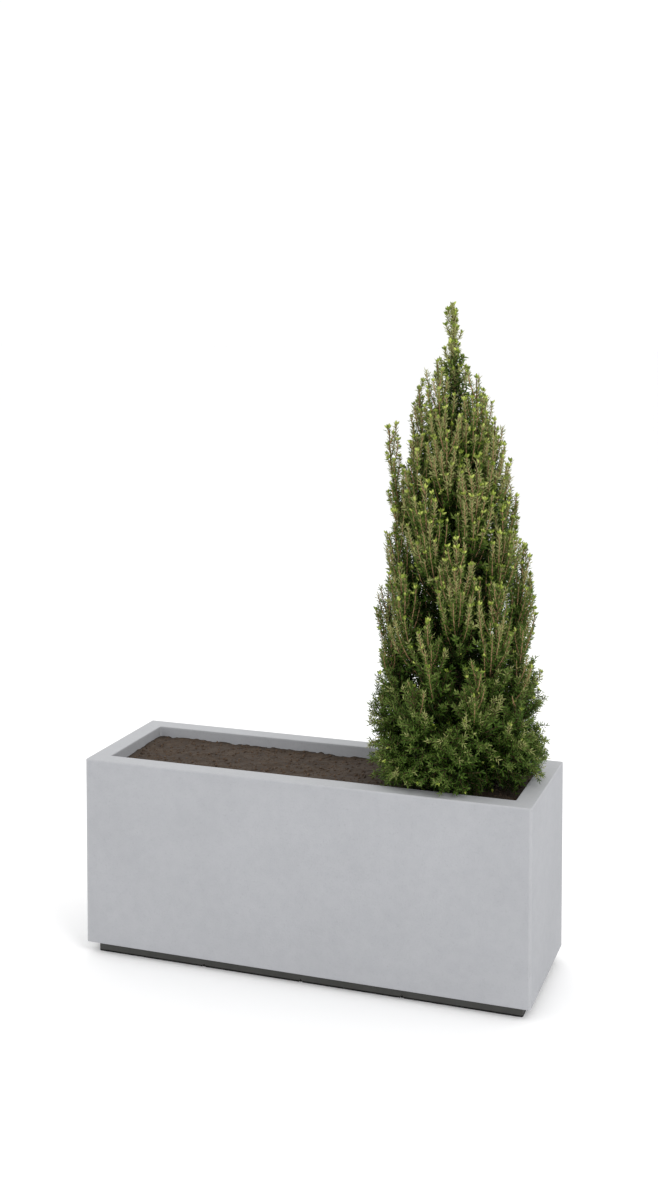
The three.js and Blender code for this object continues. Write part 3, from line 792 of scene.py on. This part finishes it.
rise = TRUNK_TOP - TRUNK_FOOT + TRUNK_SINK
z = TRUNK_FOOT - TRUNK_SINK + rise * np.linspace(0, 1, TRUNK_STATIONS) ** STATION_POWER
trunk_path = trunk_point(z)[None]
ribs = ROOT_SWELL * np.exp(-np.maximum(z - TRUNK_FOOT, 0) / FLARE_HEIGHT)[:, None]
ribs = ribs * np.cos(ROOT_RIBS * even_angles(TRUNK_SIDES))
size = trunk_radius(np.maximum(z, TRUNK_FOOT))[:, None] * (1 + ribs)
relief = BARK_RELIEF * np.clip(size / TRUNK_RADIUS, LEAST_RELIEF, 1)
ridges = bark_ridges(trunk_path, TRUNK_SIDES, TRUNK_SCALE)
trunk = with_bark("trunk_bark", trunk_path, TRUNK_SIDES, size, relief, ridges)

# %% Boughs with their bark
BOUGH_END = 0.36
BOUGH_STATIONS, BOUGH_SIDES = 30, 12
BOUGH_RADIUS, STEM_RADIUS, STEM_TIP_RADIUS = 5.5 * MM, 3.6 * MM, 1.3 * MM

bough_shares = np.linspace(0, BOUGH_END, BOUGH_STATIONS)
bough_paths = np.array([cubic(control, bough_shares) for control in controls[:PLUMES_ON_BOUGHS]])
size = np.linspace(BOUGH_RADIUS, STEM_RADIUS, BOUGH_STATIONS)[None, :, None]
ridges = bark_ridges(bough_paths, BOUGH_SIDES, BOUGH_SCALE)
boughs = with_bark("bough_bark", bough_paths, BOUGH_SIDES, size, BOUGH_RELIEF, ridges)

# %% Bark finish
CRACK_COLOUR = (0.16, 0.062, 0.025)
CRACK_REACH, CRACK_STRENGTH = 0.45, 0.85

bark = finish_with(
    "bark", ((0.135, 0.09, 0.062), (0.2, 0.15, 0.115), 30.0, 0.8),
    ((0.07, 0.045, 0.03), 700.0, 0.5), 0.5 * MM, 0.85,
)
ridge = mesh_value(bark.node_tree, "ridge")
lay_over(bark, ramp(bark.node_tree, ridge, 0.0, CRACK_REACH, CRACK_STRENGTH, 0.0), CRACK_COLOUR)
dress(trunk, bark, ["trunk"])
dress(boughs, bark, [f"bough_{k + 1:02d}" for k in range(PLUMES_ON_BOUGHS)])

# %% [markdown]
# Twigs
#
# Each plume is a bundle of shoots. They leave the plume's axis at steps of the golden section,
# start along a mix of the axis, outwards and up, and are as long as their plume's space allows.
# Low in the crown they stay flat and make soft fans; higher up they turn upright, as shoots do
# that reach for light. The two kinds are mixed at random where the zones meet. Every shoot
# carries side shoots, and dark old twigs fill the inside of the crown and stand on the trunk.

# %% Shoots on every plume
FULL_TURN = 6.28
FIRST_SHOOT, LAST_SHOOT, SHOOT_STRIDE = 0.07, 0.985, 0.618
SHOOT_STATIONS, TEST_STATIONS, SHOOT_TESTED = 6, 5, 3
SHORTEST, LENGTHS_TRIED, SHOOT_VARIETY = 18 * MM, 16, (0.45, 1.0)
NEIGHBOUR_MARGIN, TWIG_MARGIN = 2.5 * MM, 0.5 * MM
SHELL_WANDER, OVER_TIP, PLUME_SLOPE = 26 * MM, 48 * MM, 0.9
WIDEST, WIDENING = (115, 175), (0.45, 0.4)
LOW_ZONE, HIGH_ZONE, ZONE_BLEND = 0.56, 0.86, (-80 * MM, 130 * MM)
# pairs for the low and for the high crown
SHOOTS = 70, 24
LONGEST = 170 * MM, 235 * MM
SHELL_DEPTH = 14 * MM, 6 * MM
UNDER_TIP = -12 * MM, -50 * MM
# and the weights of the parent's direction, outwards and up, at the start and the end of a shoot
SHOOT_WAYS = ((0.5, 1.0, 0.0), (0.3, 0.85, -0.2)), ((0.5, 0.65, 0.55), (0.3, 0.1, 1.0))


def upper_share(z):
    """0 in the soft lower zone of the crown, 1 where shoots stand upright."""
    return reached(z, LOW_ZONE, HIGH_ZONE - LOW_ZONE)


def headings(along, out, low, high=None, upright=0.0):
    """Unit directions a along + b out + c up for the start and the end of each twig, their
    weights (a, b, c) mixed between the low and the high crown."""
    low = np.array(low)[:, None]
    high = low if high is None else np.array(high)[:, None]
    a, b, c = np.moveaxis(mix(low, high, np.reshape(upright, (-1, 1))), -1, 0)[..., None]
    return unit(a * along + b * out + c * UP)


def numbered(counts):
    """For groups of the given sizes, each item's group and its number in the group."""
    which = np.repeat(np.arange(len(counts)), counts)
    return which, np.arange(len(which)) - np.repeat(np.cumsum(counts) - counts, counts)


def grown(roots, ways, wanted, fractions, stations, tested, margin, *limits):
    """Twigs as long as their space allows. Each takes the first fraction of its wanted length at
    which its last tested stations keep within the limits, its plume's number first among them.
    Gives the numbers of the twigs that found one, their lengths and their paths."""
    best = np.zeros(len(wanted))
    limits = np.broadcast_arrays(*limits)
    for fraction in fractions:
        trying = np.flatnonzero(best == 0)
        lengths = wanted[trying] * fraction
        tests = turned_paths(roots[trying], ways[:, trying], lengths, TEST_STATIONS)[:, -tested:]
        own, *others = (np.repeat(limit[trying], tested) for limit in limits)
        fits = in_own_space(tests.reshape(-1, 3), own, margin, *others).reshape(-1, tested).all(1)
        best[trying[fits]] = lengths[fits]
    kept = np.flatnonzero(best)
    return kept, best[kept], turned_paths(roots[kept], ways[:, kept], best[kept], stations)


tip_share = reached(axes[:LEADER, -1, 2], LOWEST_TIP, HIGHEST_TIP - LOWEST_TIP)
per_plume = mix(*SHOOTS, tip_share).astype(int)
own, k = numbered(per_plume)
station = mix(FIRST_SHOOT, LAST_SHOOT, (k + noise(own * 61 + k, 4)) / per_plume[own])
roots, tangent = on_paths(fine_axes, own, station)
first = square_to(unit(np.cross(UP, across[own])), tangent)
spread = (k * SHOOT_STRIDE + noise(own, 9)) % 1 * 2 - 1
widest = np.radians(mix(*WIDEST, reached(station, *WIDENING)))
outwards = turned(first, np.cross(tangent, first), widest * spread - math.pi / 2)
upright = upper_share(roots[:, 2] + mix(*ZONE_BLEND, noise(own * 29 + k, 14)))
ways = headings(tangent, outwards, *SHOOT_WAYS, upright)
over_tip = mix(mix(*UNDER_TIP, upright), OVER_TIP, noise(own * 71 + k, 12))
slope = PLUME_SLOPE * upper_share(axes[own, -1, 2])
wanted = mix(*LONGEST, upright) * mix(*SHOOT_VARIETY, noise(own * 83 + k, 5))
from_shell = mix(*SHELL_DEPTH, upright) + SHELL_WANDER * noise(own * 19 + k, 13) ** 3
kept, shoot_lengths, shoot_paths = grown(
    roots, ways, wanted, np.linspace(1, SHORTEST / LONGEST[1], LENGTHS_TRIED), SHOOT_STATIONS,
    SHOOT_TESTED, NEIGHBOUR_MARGIN, own, from_shell, over_tip, slope,
)
shoot_own, shoot_upright = own[kept], upright[kept]
print(len(shoot_paths), "shoots, mean length", round(shoot_lengths.mean() * 1000), "mm")

# %% Side shoots
SIDE_SPACING, SIDE_LENGTH = (11 * MM, 13 * MM), (34 * MM, 15 * MM)
SIDE_STATIONS, SIDE_VARIETY, SIDE_TAPER = 4, (0.6, 1.15), (1.1, 0.6)
SIDE_FIRST, SIDE_LAST = 0.12, 0.93
SIDE_SHELL_SHARE, SIDE_OVER_TIP = 0.6, 40 * MM
SIDE_WAYS = ((0.5, 0.85, 0.1), (0.8, 0.5, 0.1)), ((0.8, 0.6, 0.1), (0.8, 0.5, 0.45))


def strewn_along(lengths, spacing, first, last):
    """Even steps along each path between two shares: path numbers, step numbers and shares."""
    counts = np.maximum(0, (last - first) * lengths / spacing).astype(int)
    which, step = numbered(counts)
    return which, step, first + (last - first) * (step + 0.5) / counts[which]


spacing = mix(*SIDE_SPACING, shoot_upright)
parent, step, share = strewn_along(shoot_lengths, spacing, SIDE_FIRST, SIDE_LAST)
roots, along = on_paths(shoot_paths, parent, share)
out = round_about(along, step * GOLDEN_ANGLE + FULL_TURN * noise(parent, 6))
upright = shoot_upright[parent]
ways = headings(along, out, *SIDE_WAYS, upright)
wanted = mix(*SIDE_LENGTH, upright) * mix(*SIDE_VARIETY, noise(parent * 17 + step, 7))
wanted = wanted * mix(*SIDE_TAPER, share)
from_shell = SIDE_SHELL_SHARE * mix(*SHELL_DEPTH, upright)
kept, side_lengths, side_paths = grown(
    roots, ways, wanted, [1.0], SIDE_STATIONS,
    1, TWIG_MARGIN, shoot_own[parent], from_shell, SIDE_OVER_TIP, 0.0,
)
side_parent = parent[kept]
print(len(side_paths), "side shoots, mean length", round(side_lengths.mean() * 1000), "mm")

# %% Old twigs inside the crown
OLD_PER_PLUME, OLD_FIRST, OLD_LAST = 36, 0.05, 0.72
OLD_LONGEST, OLD_TRIED = 95 * MM, (1.0, 0.75, 0.5, 0.3)
OLD_STATIONS = 3
OLD_WAYS = (0.4, 1.0, 0.0), (0.3, 0.7, 0.5)
TRUNK_TWIGS, TRUNK_TWIG_LONGEST, TRUNK_TWIG_REACH = 300, 115 * MM, 0.55
TRUNK_TWIG_WAYS, TRUNK_TWIG_VARIETY = ((0.0, 1.0, 0.3), (0.0, 0.7, 0.6)), (0.6, 1.0)

own, k = numbered(np.full(PLUMES + 1, OLD_PER_PLUME))
share = mix(OLD_FIRST, OLD_LAST, (k + noise(own * 43 + k, 71)) / OLD_PER_PLUME)
roots, tangent = on_paths(fine_axes, own, share)
out = round_about(tangent, k * GOLDEN_ANGLE + FULL_TURN * noise(own, 72))
_, inner_lengths, inner_paths = grown(
    roots, headings(tangent, out, OLD_WAYS), np.full(len(own), OLD_LONGEST), OLD_TRIED, OLD_STATIONS,
    1, TWIG_MARGIN, own, 2 * SHELL_DEPTH[0], 0.0, 0.0,
)
k = np.arange(TRUNK_TWIGS)
height = mix(RIM, HIGHEST_TIP, (k + noise(k, 73)) / TRUNK_TWIGS)
turn = k * GOLDEN_ANGLE
out = np.stack([np.cos(turn), np.sin(turn), 0 * turn], -1)
lengths = np.minimum(TRUNK_TWIG_REACH * crown_radius(height), TRUNK_TWIG_LONGEST)
lengths = lengths * mix(*TRUNK_TWIG_VARIETY, noise(k, 74))
ways = headings(out, out, TRUNK_TWIG_WAYS)
old_lengths = np.concatenate([inner_lengths, lengths])
old_paths = np.concatenate([inner_paths, turned_paths(trunk_point(height), ways, lengths, OLD_STATIONS)])
print(len(old_paths), "old twigs, mean length", round(old_lengths.mean() * 1000), "mm")

# %% [markdown]
# Leader
#
# Above the plumes stands the leader, a slender upright shoot with short side shoots that thin
# out towards its tip. It is one more path, with side shoots by the golden angle.

# %% Leader
LEADER_SIDES, LEADER_SIDE_LENGTH, LEADER_VARIETY = 38, (66 * MM, 20 * MM), (0.4, 1.2)
LEADER_BARE, LEADER_BRANCHED = 0.06, 0.86
LEADER_SIDE_WAYS = (0.35, 1.0, 0.0), (0.0, 0.1, 0.95)

leader_path = leader_line[None]
k = np.arange(LEADER_SIDES)
share = LEADER_BARE + LEADER_BRANCHED * (k + 0.5) / LEADER_SIDES
roots, along = on_paths(leader_path, 0 * k, share)
out = round_about(along, k * GOLDEN_ANGLE)
lengths = mix(*LEADER_SIDE_LENGTH, share) * mix(*LEADER_VARIETY, noise(k, 41))
leader_sides = turned_paths(roots, headings(along, out, LEADER_SIDE_WAYS), lengths, SIDE_STATIONS)
print("leader with", LEADER_SIDES, "side shoots")

# %% [markdown]
# Wood of the twigs
#
# The plumes' own limbs carry on from the boughs and the trunk, and thin out to their tips. They
# and the twigs are slim tubes. Upright shoots and the leader have fresh orange-brown bark, which
# shows between the needles all over the upper crown; the limbs, the low shoots, the side shoots
# and the old twigs have dark bark.

# %% Limbs and twigs
LIMB_STATIONS, LIMB_SIDES, LIMB_END, LIMB_RADIUS = 14, 7, 0.995, 4.4 * MM
LIMB_TAPER = 0.8
FRESH_FROM = 0.85


def tapered(paths, root, tip, sides):
    """Tubes whose radius falls evenly from root to tip."""
    return tubes(paths, np.broadcast_to(np.linspace(root, tip, paths.shape[1]), paths.shape[:2]), sides)


def merged(*parts):
    """Several sets of points and faces as one."""
    shifts = np.cumsum([0] + [len(points) for points, _ in parts[:-1]])
    faces = [faces + shift for (_, faces), shift in zip(parts, shifts)]
    return np.concatenate([points for points, _ in parts]), np.concatenate(faces)


on_bough = np.arange(PLUMES + 1) < PLUMES_ON_BOUGHS
limbs = np.array([
    cubic(control, np.linspace(start, LIMB_END, LIMB_STATIONS))
    for control, start in zip(controls, np.where(on_bough, BOUGH_END, 0.0))
])
thickness = np.linspace(1, 0, LIMB_STATIONS)[None] ** LIMB_TAPER
limb_radii = mix(STEM_TIP_RADIUS, np.where(on_bough, STEM_RADIUS, LIMB_RADIUS)[:, None], thickness)
low = shoot_upright < FRESH_FROM
fresh_wood = merged(
    tapered(shoot_paths[~low], 2.0 * MM, 1.2 * MM, 3),
    tapered(leader_path, 3.8 * MM, 1.6 * MM, 6),
)
dark_wood = merged(
    tapered(side_paths[:, ::3], 0.8 * MM, 0.5 * MM, 3),
    tapered(shoot_paths[low], 1.2 * MM, 0.7 * MM, 3),
    tapered(old_paths, 1.3 * MM, 0.7 * MM, 3),
    tapered(leader_sides, 1.4 * MM, 0.9 * MM, 4),
)
twig_bark = finish_with(
    "twig_bark", ((0.42, 0.26, 0.14), (0.28, 0.165, 0.085), 90.0, 0.8),
    ((0.09, 0.05, 0.03), 900.0, 0.4), 0.2 * MM, 0.75, 0.2,
)
old_bark = finish_with(
    "old_twig_bark", ((0.075, 0.048, 0.026), (0.12, 0.066, 0.034), 60.0, 0.6),
    ((0.03, 0.02, 0.012), 900.0, 0.4), 0.2 * MM, 0.8, 0.2,
)
dress(new_piece("plume_limbs", *tubes(limbs, limb_radii, LIMB_SIDES)), old_bark)
dress(new_piece("shoot_wood", *fresh_wood), twig_bark)
dress(new_piece("side_wood", *dark_wood), old_bark)

# %% [markdown]
# Needles
#
# A spruce needle is a stiff, keeled blade, here 14 mm long. As full blades so many of them
# would be too heavy, so each is a tetrahedron of four faces: two points at the ends and two at
# the shoulders, which gives a pointed outline with a keel. They stand all round each shoot by
# the golden angle, leaning towards its tip. Every spray takes one plain colour, lighter in the
# open and darker inside the crown, where the darkening is painted shade, and all needles of one
# colour are one or two pieces.

# %% Needle shape
NEEDLE_LENGTH, NEEDLE_WIDTH = 14 * MM, 2.4 * MM
SHOULDER, KEEL, NEEDLE_LIFT = 0.42, 1.5, 0.12
OPENING, OPEN_JITTER, NEEDLE_VARIETY = (68, 36), 20, (0.75, 1.15)
NEEDLE_FACES = np.array([[0, 2, 1], [3, 1, 2], [0, 1, 3], [0, 3, 2]])


def needles_on(paths, which, share, step, length, width):
    """Four points a needle: root, tip, and root + 0.42 L d + w (side ± lift) at the shoulders,
    with d between the shoot's direction and straight out, at the golden angle round it."""
    root, along = on_paths(paths, which, share)
    out = round_about(along, step * GOLDEN_ANGLE + FULL_TURN * noise(which, 8))
    key = which * 31.7 + step
    degrees = mix(*OPENING, share**2) + OPEN_JITTER * (noise(key, 21) - 0.5)
    way = unit(turned(along, out, np.radians(degrees)) + NEEDLE_LIFT * UP)
    side = round_about(way, FULL_TURN * noise(key, 23))
    size = (length * mix(*NEEDLE_VARIETY, noise(key, 22)))[:, None]
    half = width / 2
    shoulder = root + SHOULDER * size * way + np.cross(side, way) * half * KEEL
    return np.stack([root, shoulder + half * side, shoulder - half * side, root + size * way], 1)


def needle_mesh(points):
    """Points (n, 4, 3) as tetrahedra whose faces look outwards."""
    a, b, c, d = (points[:, k] for k in range(4))
    volume = (np.cross(b - a, c - a) * (d - a)).sum(-1)
    return joined(points, np.where(volume[:, None, None] > 0, NEEDLE_FACES, NEEDLE_FACES[:, ::-1]))


# %% Needles on all shoots
SIDE_SPRAYS, LIMB_SPRAYS, OLD_SPRAYS, LEADER_SPRAYS, LEADER_SIDE_SPRAYS = 3000, 5000, 6000, 9000, 9500
NEEDLE, OLD_NEEDLE = (NEEDLE_LENGTH, NEEDLE_WIDTH), (18 * MM, 5 * MM)
SIDE_NEEDLE, LEADER_SIDE_NEEDLE = ((share * NEEDLE_LENGTH, NEEDLE_WIDTH) for share in (0.82, 0.9))
TINTS = 5
RISING, SHADE_DEPTHS, LEADER_TONE = (0.6, 0.85), (32 * MM, 55 * MM), 0.2
# tones for the low and for the high crown: the base, and the changes by spray, place and depth, the last
# being painted shade
TONE, SPRAY_CHANGE, ALONG_CHANGE, DEPTH_SHADE = (0.61, 0.8), (0.35, 0.5), (0.3, 0.6), (0.5, 0.8)

spray = np.arange(len(shoot_paths))
side_spray = side_parent + SIDE_SPRAYS * (np.arange(len(side_paths)) % 2)
families = [
    # paths, lengths where they are known, spacing, first share, needle, spray numbers
    (shoot_paths, shoot_lengths, 1.9 * MM, 0.05, NEEDLE, spray),
    (side_paths, side_lengths, 1.85 * MM, 0.1, SIDE_NEEDLE, side_spray),
    (fine_axes, None, 2.0 * MM, 0.35, NEEDLE, spray + LIMB_SPRAYS),
    (old_paths, old_lengths, 3.2 * MM, 0.1, OLD_NEEDLE, spray + OLD_SPRAYS),
    (leader_path, None, 0.6 * MM, 0.04, NEEDLE, spray + LEADER_SPRAYS),
    (leader_sides, None, 1.0 * MM, 0.1, LEADER_SIDE_NEEDLE, spray + LEADER_SIDE_SPRAYS),
]
needle_sets = []
for paths, lengths, spacing, start, needle, numbers in families:
    lengths = path_lengths(paths) if lengths is None else lengths
    which, step, share = strewn_along(lengths, spacing, start, 1.0)
    needle_sets.append((needles_on(paths, which, share, step, *needle), numbers[which], share))
needles, spray, share = (np.concatenate(part) for part in zip(*needle_sets))

height = needles[:, 0, 2]
# Needles deeper inside the crown get darker tints: painted shade.
depth = crown_radius(height) - off_trunk(needles[:, 0])
risen, depth_shade = reached(height, *RISING), reached(depth, *SHADE_DEPTHS)
tone = mix(*TONE, risen**3) + mix(*SPRAY_CHANGE, risen) * (noise(spray, 31) - 0.5)
# darker towards a shoot's base, and darker with depth as painted shade
inner = mix(*ALONG_CHANGE, risen) * (0.5 - share) + mix(*DEPTH_SHADE, risen) * depth_shade
tone = np.where(spray < LEADER_SPRAYS, tone - inner, tone + LEADER_TONE)
tint = np.clip((tone * TINTS).astype(int), 0, TINTS - 1)
print(len(needles), "needles;", [int((tint == k).sum()) for k in range(TINTS)], "of each tint")

# %% Needle colours
NEEDLE_COLOURS = [
    (0.011, 0.025, 0.001), (0.033, 0.069, 0.006), (0.058, 0.106, 0.014), (0.109, 0.158, 0.032),
    (0.27, 0.285, 0.105),
]
NEEDLE_PIECE_LIMIT = 48000

for k, colour in enumerate(NEEDLE_COLOURS, 1):
    toned, specks = (colour, scaled(colour, 1.35), 140.0, 0.7), (scaled(colour, 0.6), 900.0, 0.3)
    green = finish_with(f"needle_green_{k}", toned, specks, 0.1 * MM, 0.55, 0.15)
    chosen = needles[tint == k - 1]
    parts = np.array_split(chosen, math.ceil(len(chosen) / NEEDLE_PIECE_LIMIT))
    for number, part in enumerate(parts, 1):
        piece = new_piece(f"needles_{k}_{number}", *needle_mesh(part), smooth=False)
        dress(piece, green)

# %% [markdown]
# Buds
#
# Fat lime-green buds make the crown sparkle. They sit in rosettes of up to five at the tips of
# the shoots, and in whorls of up to four part-way down them. Each is a small spindle of sixteen
# faces. Low in the crown they are fewer and smaller.

# %% Buds
BUD_LENGTH, BUD_WIDTH = 13 * MM, 5.6 * MM
BUD_SIDES = 4
BUD_PROFILE = ((0.25, 0.82), (0.62, 1.0))
BUD_SINK, BUD_CHANCE, BUD_LIFT, BUD_VARIETY = 0.5 * MM, 0.8, 0.2, (0.55, 1.15)
BUDDING, FATTENING, LOW_BUD_SIZE = (0.78, 0.45), (0.65, 0.3), 0.66
ALWAYS = 1.1


def buds_at(roots, ways, sizes):
    """Spindles: two rings root + s L d + r (u cos a + v sin a), then the root and the tip."""
    u = round_about(ways, np.zeros(len(ways)))
    around = spokes(u, np.cross(ways, u), BUD_SIDES)
    size = sizes[:, None, None]
    rings = [
        roots[:, None] + s * BUD_LENGTH * size * ways[:, None] + r * BUD_WIDTH / 2 * size * around
        for s, r in BUD_PROFILE
    ]
    tip = roots + BUD_LENGTH * sizes[:, None] * ways
    points = np.concatenate([*rings, roots[:, None], tip[:, None]], axis=1)
    return joined(points, ring_faces(len(BUD_PROFILE), BUD_SIDES))


def clusters(paths, place, chance, most, seed):
    """Roots, directions and sizes of buds in clusters at one place along each path: one bud
    straight on, the others round it at 45 degrees."""
    chosen = np.flatnonzero(noise(np.arange(len(paths)), seed) < chance)
    which = np.repeat(chosen, most)
    slot = np.tile(np.arange(most), len(chosen))
    there = (slot == 0) | (noise(which * 7 + slot, seed + 1) < BUD_CHANCE)
    which, slot = which[there], slot[there]
    end, along = on_paths(paths, which, np.full(len(which), place))
    out = round_about(along, slot * 2 * math.pi / max(1, most - 1) + which)
    ways = unit(along + (slot > 0)[:, None] * out + BUD_LIFT * UP)
    return end - BUD_SINK * along, ways, mix(*BUD_VARIETY, noise(which * 5 + slot, seed + 2))


bud_share = reached(shoot_paths[:, -1, 2], *BUDDING)
bud_sets = [
    # paths, place along them, chance of a cluster, most buds in it, series of noise
    clusters(shoot_paths, 1.0, mix(0.1, 0.85, bud_share), 5, 51),
    clusters(shoot_paths, 0.62, mix(0.0, 0.35, bud_share), 4, 69),
    clusters(side_paths, 1.0, mix(0.01, 0.1, bud_share[side_parent]), 3, 54),
    clusters(leader_path, 1.0, ALWAYS, 5, 57),
    clusters(leader_path, 0.9, ALWAYS, 5, 72),
    clusters(leader_sides, 1.0, ALWAYS, 4, 60),
    clusters(fine_axes, 1.0, ALWAYS, 5, 63),
]
roots, ways, sizes = (np.concatenate(part) for part in zip(*bud_sets))
sizes *= mix(LOW_BUD_SIZE, 1.0, reached(roots[:, 2], *FATTENING))
shade = noise(np.arange(len(roots)), 66)
print(len(roots), "buds")

# %% Bud colours
BUD_COLOURS = [(0.11, 0.16, 0.014), (0.22, 0.285, 0.032), (0.4, 0.46, 0.1)]
BUD_SCALES = ((0.2, 0.14, 0.05), 700.0, 0.25)

for k, colour in enumerate(BUD_COLOURS):
    chosen = (shade * len(BUD_COLOURS)).astype(int) == k
    piece = new_piece(f"buds_{k + 1}", *buds_at(roots[chosen], ways[chosen], sizes[chosen]))
    toned = (colour, scaled(colour, 1.3), 160.0, 0.7)
    lime = finish_with(f"bud_lime_{k + 1}", toned, BUD_SCALES, 0.15 * MM, 0.45, 0.3)
    replaced = [f"plume_{n + 1:02d}" for n in range(PLUMES + 1)] + ["leader"] if k == 0 else ()
    dress(piece, lime, replaced)

# %% [markdown]
# Stage, light and camera
#
# The photograph shows the planter on pale ground in soft, shadowless daylight, from a standing
# height with the verticals kept upright. A big pale floor, a bright world and three wide area
# lights give that light. The camera looks down three degrees, and its shift keeps the planter's
# edges from leaning in.

# %% Floor
FLOOR_HALF = 60.0

corners = np.array([[-1, -1, 0], [1, -1, 0], [1, 1, 0], [-1, 1, 0]]) * FLOOR_HALF
floor = new_piece("floor", corners, np.array([[0, 1, 2, 3]]), smooth=False)
floor_finish = finish_with(
    "floor_plaster", ((0.97, 0.97, 0.97), (0.96, 0.96, 0.96), 1.5, 0.5),
    ((0.95, 0.95, 0.95), 300.0, 0.1), 0.05 * MM, 0.9,
)
floor.data.materials.append(floor_finish)

# %% World and lights
SKY_STRENGTH = 1.04

scene = bpy.context.scene
scene.view_settings.view_transform = "Standard"
world = bpy.data.worlds.new("soft_sky")
scene.world = world
world.use_nodes = True
sky = world.node_tree.nodes["Background"].inputs
sky["Color"].default_value = (1.0, 1.0, 1.0, 1)
sky["Strength"].default_value = SKY_STRENGTH


def area_light(name, place, aim, size, power):
    """A square lamp at a place, turned so that it shines on the aim."""
    lamp = bpy.data.lights.new(name, "AREA")
    lamp.size = size
    lamp.energy = power
    lit = bpy.data.objects.new(name, lamp)
    scene.collection.objects.link(lit)
    x, y, z = np.array(aim) - np.array(place)
    lit.location = place
    lit.rotation_euler = (math.atan2(math.hypot(x, y), -z), 0, math.atan2(y, x) - math.pi / 2)


area_light("key_light", (3.2, -2.6, 4.2), (0.2, 0.0, 0.8), 2.2, 80)
area_light("fill_light", (-3.4, -3.4, 2.6), (0.0, 0.0, 0.6), 3.0, 15)
area_light("back_light", (-0.5, 3.8, 3.4), (0.2, 0.0, 0.9), 2.4, 30)

# %% Camera
IMAGE_HEIGHT = 1194
FOCAL_PIXELS, HORIZON_ROW = 1505.5, 387.1
SENSOR = 36.0
CAMERA_PLACE, CAMERA_TILT, CAMERA_TURN = (1.324, -3.699, 1.720), 87.0, 19.49

view = bpy.data.cameras.new("camera")
camera = bpy.data.objects.new("camera", view)
scene.collection.objects.link(camera)
camera.location = CAMERA_PLACE
camera.rotation_euler = (math.radians(CAMERA_TILT), 0, math.radians(CAMERA_TURN))
view.sensor_fit = "VERTICAL"
view.sensor_height = SENSOR
view.lens = FOCAL_PIXELS / IMAGE_HEIGHT * SENSOR
view.shift_y = -(IMAGE_HEIGHT / 2 - HORIZON_ROW) / IMAGE_HEIGHT
scene.camera = camera
print("lens", round(view.lens, 2), "mm, shift", round(view.shift_y, 4))

# %% Sizes and finish
print(sum(made), "triangles in", len(made), "new pieces")
